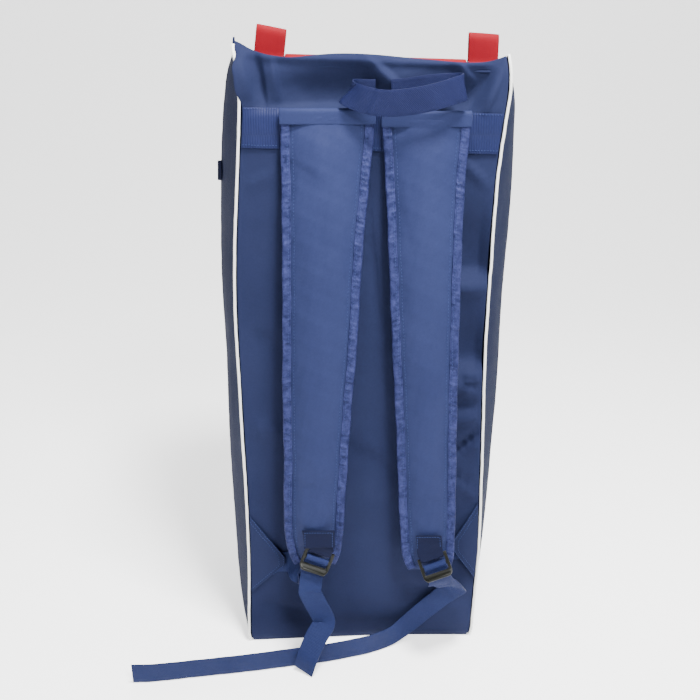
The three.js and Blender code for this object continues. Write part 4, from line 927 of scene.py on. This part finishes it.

# %% [markdown]
# ## Adjusting webbing, strap ends and handle
#
# All are of one webbing, 30 mm wide. Each adjuster starts under the corner cloth, turns on edge, goes up
# behind the buckle, over its middle bar and down again, and hangs from there. The right one's tail lies
# along the floor on its edge. Each strap end is a loop round the buckle's top bar.

# %% Routes, in millimetres: the middle of the strip and the direction of its width
# The rows are the CAD model's own stations, printed and rounded, and the buckles' places further on
# are too. The turn under the right buckle was changed. Where the model's webbing changes,
# these rows don't follow by themselves.
WEBBING_WIDTH, TAIL_HEIGHT = 30, 16.2
LEFT_BAR, RIGHT_BAR = (0.93, 0.03, -0.37), (0.94, 0.05, 0.34)
ROUTES = {
    "adjuster_webbing_left": [
        (-130.4, -142.2, 121.9, -0.1, 0, 1),
        (-117.7, -142.4, 123.4, 0, 0, 1),
        (-104.9, -143.5, 124.5, 0.1, 0, 1),
        (-96.7, -153.6, 126.7, 0.4, 0, 0.92),
        (-87.5, -168.8, 125.6, 0.71, 0, 0.71),
        (-75, -178.7, 126.3, 0.98, 0, 0.21),
        (-67.6, -187.8, 138.8, *LEFT_BAR),
        (-64.7, -187.2, 146.2, *LEFT_BAR),
        (-62.9, -186.5, 150.6, *LEFT_BAR),
        (-61.7, -187.1, 153.7, *LEFT_BAR),
        (-59.9, -187.5, 158, *LEFT_BAR),
        (-59.3, -190, 159.4, *LEFT_BAR),
        (-59.2, -192.4, 159.3, *LEFT_BAR),
        (-60.3, -193.2, 156.5, *LEFT_BAR),
        (-61.2, -193.5, 154.4, *LEFT_BAR),
        (-61.8, -190.9, 153, *LEFT_BAR),
        (-62.8, -188.9, 150.9, *LEFT_BAR),
        (-64, -188.6, 147.8, *LEFT_BAR),
        (-66.7, -189.8, 140.9, *LEFT_BAR),
        (-69.9, -197.6, 118, 0.98, 0, -0.2),
        (-69.8, -197.9, 110, 0.95, 0, 0.3),
        (-60.4, -194, 85.9, 0.94, 0, 0.34),
        (-52.6, -190.6, 65, 0.94, -0.05, 0.34),
        (-52.8, -192.4, 57, 0.9, -0.3, -0.3),
        (-62.3, -204.1, 45.8, 0.87, -0.38, -0.3),
        (-73.8, -219.3, 25, 0.84, -0.48, -0.24),
        (-80.1, -220.6, 4.4, 0.83, -0.52, -0.2),
    ],
    "adjuster_webbing_right": [
        (139.9, -142.2, 144.1, -0.1, 0, -1),
        (128.8, -142.4, 142.8, 0, 0, -1),
        (117.7, -143.4, 141, 0.15, 0, -0.99),
        (110.7, -155.8, 135, 0.5, 0, -0.86),
        (105.9, -172.3, 123, 0.86, 0, -0.51),
        (102.4, -189.4, 117, 0.99, 0, 0.1),
        (101.6, -198, 132.4, *RIGHT_BAR),
        (98.9, -195.2, 139.4, *RIGHT_BAR),
        (97.4, -193.4, 143.5, *RIGHT_BAR),
        (96.2, -192.9, 146.6, *RIGHT_BAR),
        (94.6, -192.1, 150.9, *RIGHT_BAR),
        (94, -194.1, 153, *RIGHT_BAR),
        (93.9, -196.4, 153.6, *RIGHT_BAR),
        (94.9, -198, 151.1, *RIGHT_BAR),
        (95.6, -198.9, 149.1, *RIGHT_BAR),
        (96.3, -196.9, 147.1, *RIGHT_BAR),
        (97.2, -195.6, 144.4, *RIGHT_BAR),
        (98.3, -196.2, 141.3, *RIGHT_BAR),
        (100.8, -199.3, 135, *RIGHT_BAR),
        (107.5, -190.4, 121.8, 0.97, 0.1, 0.12),
        (119.4, -178.5, 108.7, 0.93, 0.2, -0.2),
        (127.1, -164.8, 97.6, 0.86, 0.2, -0.45),
        (128.6, -154.2, 88.5, 0.78, 0.12, -0.6),
        (122.2, -147.1, 79.7, 0.7, 0.03, -0.71),
        (111.3, -145.3, 70.7, 0.68, 0, -0.73),
        (86.5, -146.2, 48.7, 0.66, 0.04, -0.75),
        (63.6, -149.6, 28.9, 0.45, 0.05, -0.89),
        (41.3, -160.8, 17.4, 0.12, 0.05, -0.99),
        (12.7, -177.2, TAIL_HEIGHT, 0, 0.08, -1),
        (-15.9, -187.7, TAIL_HEIGHT, 0, 0.1, -1),
        (-54.1, -199, TAIL_HEIGHT, 0, 0.1, -1),
        (-92.2, -206.6, TAIL_HEIGHT, 0, 0.12, -0.99),
        (-152.6, -219.1, TAIL_HEIGHT, 0, 0.14, -0.99),
        (-222.6, -231.1, TAIL_HEIGHT, 0, 0.16, -0.99),
        (-273.5, -239.5, TAIL_HEIGHT, 0, 0.14, -0.99),
        (-303.7, -241.3, TAIL_HEIGHT, 0, 0.12, -0.99),
    ],
    "strap_end_left": [
        (-64.7, -189.1, 198.6, 1, 0, 0),
        (-63.3, -188.9, 192.5, 1, 0, -0.01),
        (-61.2, -188.6, 186.5, 1, 0, -0.05),
        (-52.7, -191.5, 175.7, *LEFT_BAR),
        (-54, -191.3, 172.4, *LEFT_BAR),
        (-56, -191.6, 167.3, *LEFT_BAR),
        (-57, -191.9, 165, *LEFT_BAR),
        (-57.6, -189.4, 163.6, *LEFT_BAR),
        (-57.7, -187, 163.7, *LEFT_BAR),
        (-56.5, -186.2, 166.7, *LEFT_BAR),
        (-54.4, -186.1, 171.9, *LEFT_BAR),
        (-59.5, -186.3, 181.8, 0.99, 0.01, -0.12),
        (-62, -186.8, 189, 1, 0, -0.03),
        (-64.7, -187, 196.9, 1, 0, 0),
    ],
    "strap_end_right": [
        (86.2, -186.8, 189.8, 1, 0, 0),
        (86.9, -187.4, 183.9, 1, 0, 0.01),
        (87.8, -187.9, 178, 1, 0.01, 0.05),
        (88, -190.8, 169.3, *RIGHT_BAR),
        (89.2, -191.5, 166, *RIGHT_BAR),
        (91, -193.3, 161.1, *RIGHT_BAR),
        (91.9, -194.3, 159, *RIGHT_BAR),
        (92.5, -192.3, 156.9, *RIGHT_BAR),
        (92.6, -190, 156.3, *RIGHT_BAR),
        (91.5, -188.4, 159, *RIGHT_BAR),
        (89.6, -186.7, 164, *RIGHT_BAR),
        (88.5, -186.2, 173.1, 0.99, 0.02, 0.11),
        (87.4, -185.7, 180.2, 1, 0, 0.03),
        (86.2, -185, 187.8, 1, 0, 0),
    ],
    "grab_handle": [
        (12.7, -143.8, 748.4, 0, 0, 1),
        (1.6, -144.5, 748.4, 0.12, 0, 0.99),
        (-11.1, -146, 749, 0.5, 0, 0.86),
        (-19.1, -151.8, 748.4, 0.7, 0, 0.71),
        (-7, -162.7, 743, 0.35, -0.02, 0.94),
        (19.1, -169.2, 737.6, 0, -0.06, 1),
        (47.7, -171.9, 738.8, -0.06, -0.1, 0.99),
        (79.5, -172.2, 744.5, -0.16, -0.12, 0.98),
        (106.5, -165.2, 752, -0.2, -0.1, 0.97),
        (115.1, -158.4, 755, -0.2, -0.02, 0.98),
        (104.9, -151.1, 755.6, -0.18, 0, 0.98),
        (76.3, -150.2, 753.8, -0.1, 0, 0.99),
        (50.9, -146.3, 750.2, 0, 0, 1),
        (31.8, -144.7, 748.4, 0, 0, 1),
    ],
}

# %% Sections: a strap's end widens where it is sewn on, and the handle was once folded flat across
FLARES = {"strap_end_left": 31, "strap_end_right": 34}
HANDLE_CREASE = 71


def flared(wide):
    def section(s, v):
        return s * (WEBBING_WIDTH + (wide - WEBBING_WIDTH) * ramp(34 - v, 10)), 0 * v

    return section


def handle_section(s, v):
    fold = 1.7 * np.exp(-(((v - HANDLE_CREASE - 6 * s) / 2.2) ** 2))
    return s * WEBBING_WIDTH, 0.3 * waves(s * WEBBING_WIDTH, v, 26, 7) + fold


# %% The strips
BAR_WAYS = {"left": LEFT_BAR, "right": RIGHT_BAR}
for node_name, route in ROUTES.items():
    sewn = node_name in FLARES
    way = BAR_WAYS.get(node_name.split("_")[-1])
    handle = node_name == "grab_handle"
    # Sewn strap ends get the darker webbing, whose dark is painted shade.
    look = "patch" if sewn else "handle" if handle else "webbing"
    section = flared(FLARES[node_name]) if sewn else handle_section if handle else None
    made = strip(f"{node_name}_strip", route, WEBBING_WIDTH, look, section=section,
                 grip=way and (way, 0.9 if sewn else 0.995))
    finished(made, "webbing", node_name)

# %% The left strap's end is sewn on with a wider patch
PATCH_WIDTH = 41
PATCH_ROUTE = [(-58, -190.9, 199, 1, 0, 0), (-57.5, -191.4, 189, 1, 0, -0.02),
               (-57, -193.6, 175, 1, 0, -0.12)]
patch = strip("sewn_patch_left", PATCH_ROUTE, PATCH_WIDTH, "patch", thick=0.8)
finished(patch, "webbing")

# %% [markdown]
# ## Tabs and flap
#
# These are small pieces of cloth and webbing whose solids already have the right shape. Their copies
# are rounded by subdivision. The side tab is pressed flatter, as a loop that is sewn down lies.

# %% Corner tabs
for side in SIDES:
    tab = cloth_copy(f"corner_tab_{side}", f"corner_cloth_{side}", 2)
    move_points(tab, settled(points_of(tab)))
    finished(dress(tab, "canvas_upright"), "canvas", f"corner_tab_{side}")

# %% Red tabs and flap
for side in SIDES:
    loop = cloth_copy(f"end_tab_{side}", f"red_loop_{side}", 2, crease=0.5)
    map_flat(loop, 0, 2)
    finished(dress(loop, "red"), "red", f"end_tab_{side}")
flap = cloth_copy("zip_flap", "red_zip_flap", 2)
finished(dress(flap, "red_cloth"), "red", "zip_flap")

# %% Side tab
TAB_PRESSED = 0.4
tab = cloth_copy("side_tab", "side_loop", 2, crease=0.5)
map_flat(tab, 2, 1)
points = points_of(tab)
points[:, 0] += TAB_PRESSED * (points[:, 0].max() - points[:, 0])
move_points(tab, points)
finished(dress(tab, "patch"), "webbing", "side_tab")

# %% [markdown]
# ## Ladder buckles
#
# A ladder buckle is one flat moulding: two rails, three bars and a lip for the thumb. We start with a
# grid of 3 by 8 cells, set its lines to the bars' places, delete the two cells that are slots, bend the
# lip up, give it thickness and round every edge. A rolled edge finishes the lip.

# %% The buckle's shape, lying flat: the edges of its bars and rails, in millimetres
BARS = (0, 5, 12, 16.5, 23, 25, 27, 29, 30.5)
RAILS = (-20, -16, 16, 20)
LIP_FROM, LIP_RISE, NARROW_FROM, NARROWED = BARS[4], 6, BARS[5], 0.2
buckle = started("buckle", bpy.ops.mesh.primitive_grid_add, x_subdivisions=3, y_subdivisions=8, size=1)
grid = points_of(buckle)
column = np.rint((grid[:, 0] + 0.5) * 3).astype(int)
row = np.rint((grid[:, 1] + 0.5) * 8).astype(int)
length = np.array(BARS)[row]
rise = LIP_RISE * ramp(length - LIP_FROM, BARS[-1] - LIP_FROM) ** 2
narrow = 1 - NARROWED * ramp(length - NARROW_FROM, BARS[-1] - NARROW_FROM) ** 2
move_points(buckle, np.stack([np.array(RAILS)[column] * narrow, length, rise], axis=1) / 1000)


def pick_slots():
    shape = bmesh.from_edit_mesh(buckle.data)
    for face in shape.faces:
        middle = face.calc_center_median() * 1000
        slot = BARS[1] < middle.y < BARS[2] or BARS[3] < middle.y < BARS[4]
        face.select = slot and RAILS[1] < middle.x < RAILS[2]
    bmesh.update_edit_mesh(buckle.data)


editing(
    buckle,
    lambda: bpy.ops.mesh.select_mode(type="FACE"),
    lambda: bpy.ops.mesh.select_all(action="DESELECT"),
    pick_slots,
    lambda: bpy.ops.mesh.delete(type="FACE"),
)
edge = {"width": 0.0009, "segments": 3, "limit_method": "ANGLE", "angle_limit": math.radians(45)}
modified(buckle, ("SOLIDIFY", {"thickness": 0.003, "offset": 0.0}), ("BEVEL", edge))

# %% The rolled edge of its lip, joined on
roll = started("roll", bpy.ops.mesh.primitive_cylinder_add, vertices=20, radius=0.0021, depth=0.031,
               location=(0, 0.0297, 0.0056), rotation=(0, math.pi / 2, 0))
modified(roll, ("BEVEL", {"width": 0.0008, "segments": 3, "limit_method": "ANGLE"}))
buckle.select_set(True)
bpy.context.view_layer.objects.active = buckle
bpy.ops.object.join()
bpy.ops.object.shade_smooth_by_angle(angle=math.radians(50))
print("one buckle has", len(buckle.data.polygons), "faces")

# %% Two buckles in their places: origin, then the directions right, along and out
BUCKLE_PLACES = {
    "left": ((-55.3, -188.6, 169.3), BAR_WAYS["left"], (-0.37, -0.13, -0.92), (0.08, -0.99, 0.11)),
    "right": ((90.4, -189.9, 162.2), BAR_WAYS["right"], (0.33, -0.40, -0.86), (-0.09, -0.92, 0.39)),
}
for side, (origin, *directions) in BUCKLE_PLACES.items():
    copied = bpy.data.objects.new(f"moulded_buckle_{side}", buckle.data.copy())
    bpy.context.scene.collection.objects.link(copied)
    right, along, out = (Vector(d).normalized() for d in directions)
    turn = Matrix((right, along, out)).transposed().to_4x4()
    copied.data.transform(Matrix.Translation(Vector(origin) / 1000) @ turn)
    if turn.determinant() < 0:
        copied.data.flip_normals()
    finished(dress(copied, "plastic"), "plastic", f"ladder_buckle_{side}")
bpy.data.objects.remove(buckle)

# %% [markdown]
# ## Stitches
#
# A line of stitches is one small rounded bar, copied along a path. The path is drawn on the flat view
# of the bag, in x and z, and each stitch is dropped onto its cloth along the line of sight, so that it
# lies on the surface and follows every fold.

# %% One stitch
STITCH_SIZE = (0.0027, 0.0008, 0.0007)
stitch = started("stitch", bpy.ops.mesh.primitive_uv_sphere_add, segments=8, ring_count=6, radius=0.5)
editing(stitch, everything, lambda: bpy.ops.transform.resize(value=STITCH_SIZE))
stitch_points = points_of(stitch)
stitch_faces = [tuple(face.vertices) for face in stitch.data.polygons]
bpy.data.objects.remove(stitch)


# %% Many copies as one piece, each with its place and its three directions
def repeated(name, points, faces, places):
    count = len(points)
    all_points = np.concatenate([place + points @ np.stack(axes) for place, axes in places])
    all_faces = [tuple(i + n * count for i in face) for n in range(len(places)) for face in faces]
    mesh = bpy.data.meshes.new(name)
    mesh.from_pydata(all_points.tolist(), [], all_faces)
    piece = bpy.data.objects.new(name, mesh)
    bpy.context.scene.collection.objects.link(piece)
    only(piece)
    bpy.ops.object.shade_smooth()
    return piece


# %% A search tree of a piece's faces, for finding where a straight line meets it
def tree_of(piece):
    shape = bmesh.new()
    shape.from_mesh(piece.data)
    tree = BVHTree.FromBMesh(shape)
    shape.free()
    return tree


# %% Stitches on a piece, along paths of (x, z) in millimetres
IN_FRONT, PROUD, LONGEST_STEP = -400, 0.00018, 0.006


def seam(name, target, paths, pitch=3.6, slot="binding"):
    tree = tree_of(target)
    places = []
    for path in paths:
        path = np.asarray(path, float)
        steps = np.linalg.norm(np.diff(path, axis=0), axis=1)
        spots = np.arange(pitch / 2, steps.sum(), pitch)
        ways = [np.interp(spots, np.r_[0, steps.cumsum()], path[:, i]) for i in (0, 1)]
        for x, z in zip(*ways):
            spot, normal, _, _ = tree.ray_cast(Vector((x, IN_FRONT, z)) / 1000, Vector((0, 1, 0)))
            if spot is None:
                continue
            normal = normal if normal.y < 0 else -normal
            places.append([np.array(spot + normal * PROUD), np.array(normal)])
    ready = []
    for (spot, normal), (after, _) in zip(places, places[1:] + places[-2:-1]):
        ahead = after - spot
        if np.linalg.norm(ahead) > LONGEST_STEP:
            ahead = spot - ready[-1][0] if ready else np.array((1.0, 0, 0))
        ahead = ahead / max(np.linalg.norm(ahead), 1e-9)
        aside = np.cross(normal, ahead)
        ready.append((spot, (ahead, aside / max(np.linalg.norm(aside), 1e-9), normal)))
    piece = repeated(name, stitch_points, stitch_faces, ready)
    print(name, "has", len(ready), "stitches")
    return finished(dress(piece, "thread"), slot)


# %% A line that keeps a distance from a piece's left (-1) or right (1) edge
def beside_edge(piece, sign, inset, step=8, reach=3.5):
    points = points_of(piece) * 1000
    line = []
    for height in np.arange(points[:, 2].min() + step, points[:, 2].max() - step / 2, step):
        row = points[np.abs(points[:, 2] - height) < reach, 0]
        if len(row):
            line.append(((row * sign).max() * sign - sign * inset, height))
    return line


# %% Along the tapes: one line on each tape, and one on the pad beside it
ON_TAPE, ON_PAD = 8.2, 15.0
for (side, edge), (tape, sign) in tapes.items():
    seam(f"tape_stitches_{edge}_{side}", tape, [beside_edge(tape, sign, ON_TAPE)])
    pad = bpy.data.objects[f"shoulder_strap_{side}"]
    seam(f"pad_stitches_{edge}_{side}", pad, [beside_edge(tape, sign, ON_PAD)], pitch=4.2)

# %% Round the patches
seam("patch_stitches_left", patch, [[(-76, 177), (-76, 196), (-40, 196), (-40, 174)]], pitch=3.4)
seam("patch_stitches_right", bpy.data.objects["strap_end_right_strip"],
     [[(72, 172), (71.5, 187.5), (101, 187.5), (102, 174)]], pitch=3.4)

# %% Along the band and the corner cloths
BAND_LEAN = 0.024
BAND_SEAMS, BAND_STRETCHES = (726.5, 685), ((-150, -102), (-4, 22), (124, 162))
band_lines = [[(x, z - BAND_LEAN * x) for x in stretch]
              for z in BAND_SEAMS for stretch in BAND_STRETCHES]
seam("band_stitches", band, band_lines, slot="webbing")
for side, sign in zip(SIDES, (1, -1)):
    cloth = bpy.data.objects[f"corner_cloth_{side}"]
    lines = [beside_edge(cloth, sign, inset, step=4) for inset in (3.0, 9.0)]
    seam(f"corner_stitches_{side}", cloth, lines, slot="canvas")

# %% [markdown]
# ## Zip
#
# The zip lies in the top end, seen only from above: a tape, two rows of teeth that mesh, a slider and
# its puller. One tooth is a bevelled block; the rest are its copies.

# %% Tape and teeth
TOOTH_SIZE, TOOTH_BEVEL = (0.0016, 0.0034, 0.0016), 0.0004
TEETH_PITCH, HALF_GAP, ZIP_END = 0.0019, 0.0011, 0.004
tape = cloth_copy("zip_chain", "zip_tape", 1)
low, high = points_of(tape).min(axis=0), points_of(tape).max(axis=0)
tooth = started("tooth", bpy.ops.mesh.primitive_cube_add, size=1)
editing(tooth, everything, lambda: bpy.ops.transform.resize(value=TOOTH_SIZE),
        lambda: bpy.ops.mesh.bevel(offset=TOOTH_BEVEL, segments=2))
tooth_points, tooth_faces = points_of(tooth), [tuple(f.vertices) for f in tooth.data.polygons]
bpy.data.objects.remove(tooth)
tree = tree_of(tape)
middle = (low[1] + high[1]) / 2
places = []
for n, x in enumerate(np.arange(low[0] + ZIP_END, high[0] - ZIP_END, TEETH_PITCH)):
    aside = HALF_GAP if n % 2 else -HALF_GAP
    spot = tree.ray_cast(Vector((x, middle + aside, 1.0)), Vector((0, 0, -1)))[0]
    places.append((np.array(spot), tuple(np.eye(3))))
teeth = repeated("zip_teeth", tooth_points, tooth_faces, places)
finished(dress(tape, "canvas_flat"), "webbing", "zip_chain")
finished(dress(teeth, "plastic"), "plastic")


# %% Slider and puller
def block(name, node_name, bevel):
    points = points_of(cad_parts[node_name])
    size, centre = np.ptp(points, axis=0), (points.min(axis=0) + points.max(axis=0)) / 2
    piece = started(name, bpy.ops.mesh.primitive_cube_add, size=1)
    editing(piece, everything, lambda: bpy.ops.transform.resize(value=tuple(size)),
            lambda: bpy.ops.mesh.bevel(offset=bevel, segments=4),
            lambda: bpy.ops.transform.translate(value=tuple(centre)))
    bpy.ops.object.shade_smooth_by_angle(angle=math.radians(40))
    return piece, centre, size


slider, centre, size = block("zip_slider_body", "zip_slider", 0.0012)
points = points_of(slider)
nose = (points[:, 0] - centre[0]) / size[0]
points[:, 1] = middle + (points[:, 1] - middle) * np.where(nose > 0, 0.78, 1.0)
move_points(slider, points)
finished(dress(slider, "metal"), "metal", "zip_slider")
puller, _, _ = block("zip_puller_tab", "zip_puller", 0.0007)
finished(dress(puller, "metal"), "metal", "zip_puller")

# %% Sizes, and the end
low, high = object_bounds()
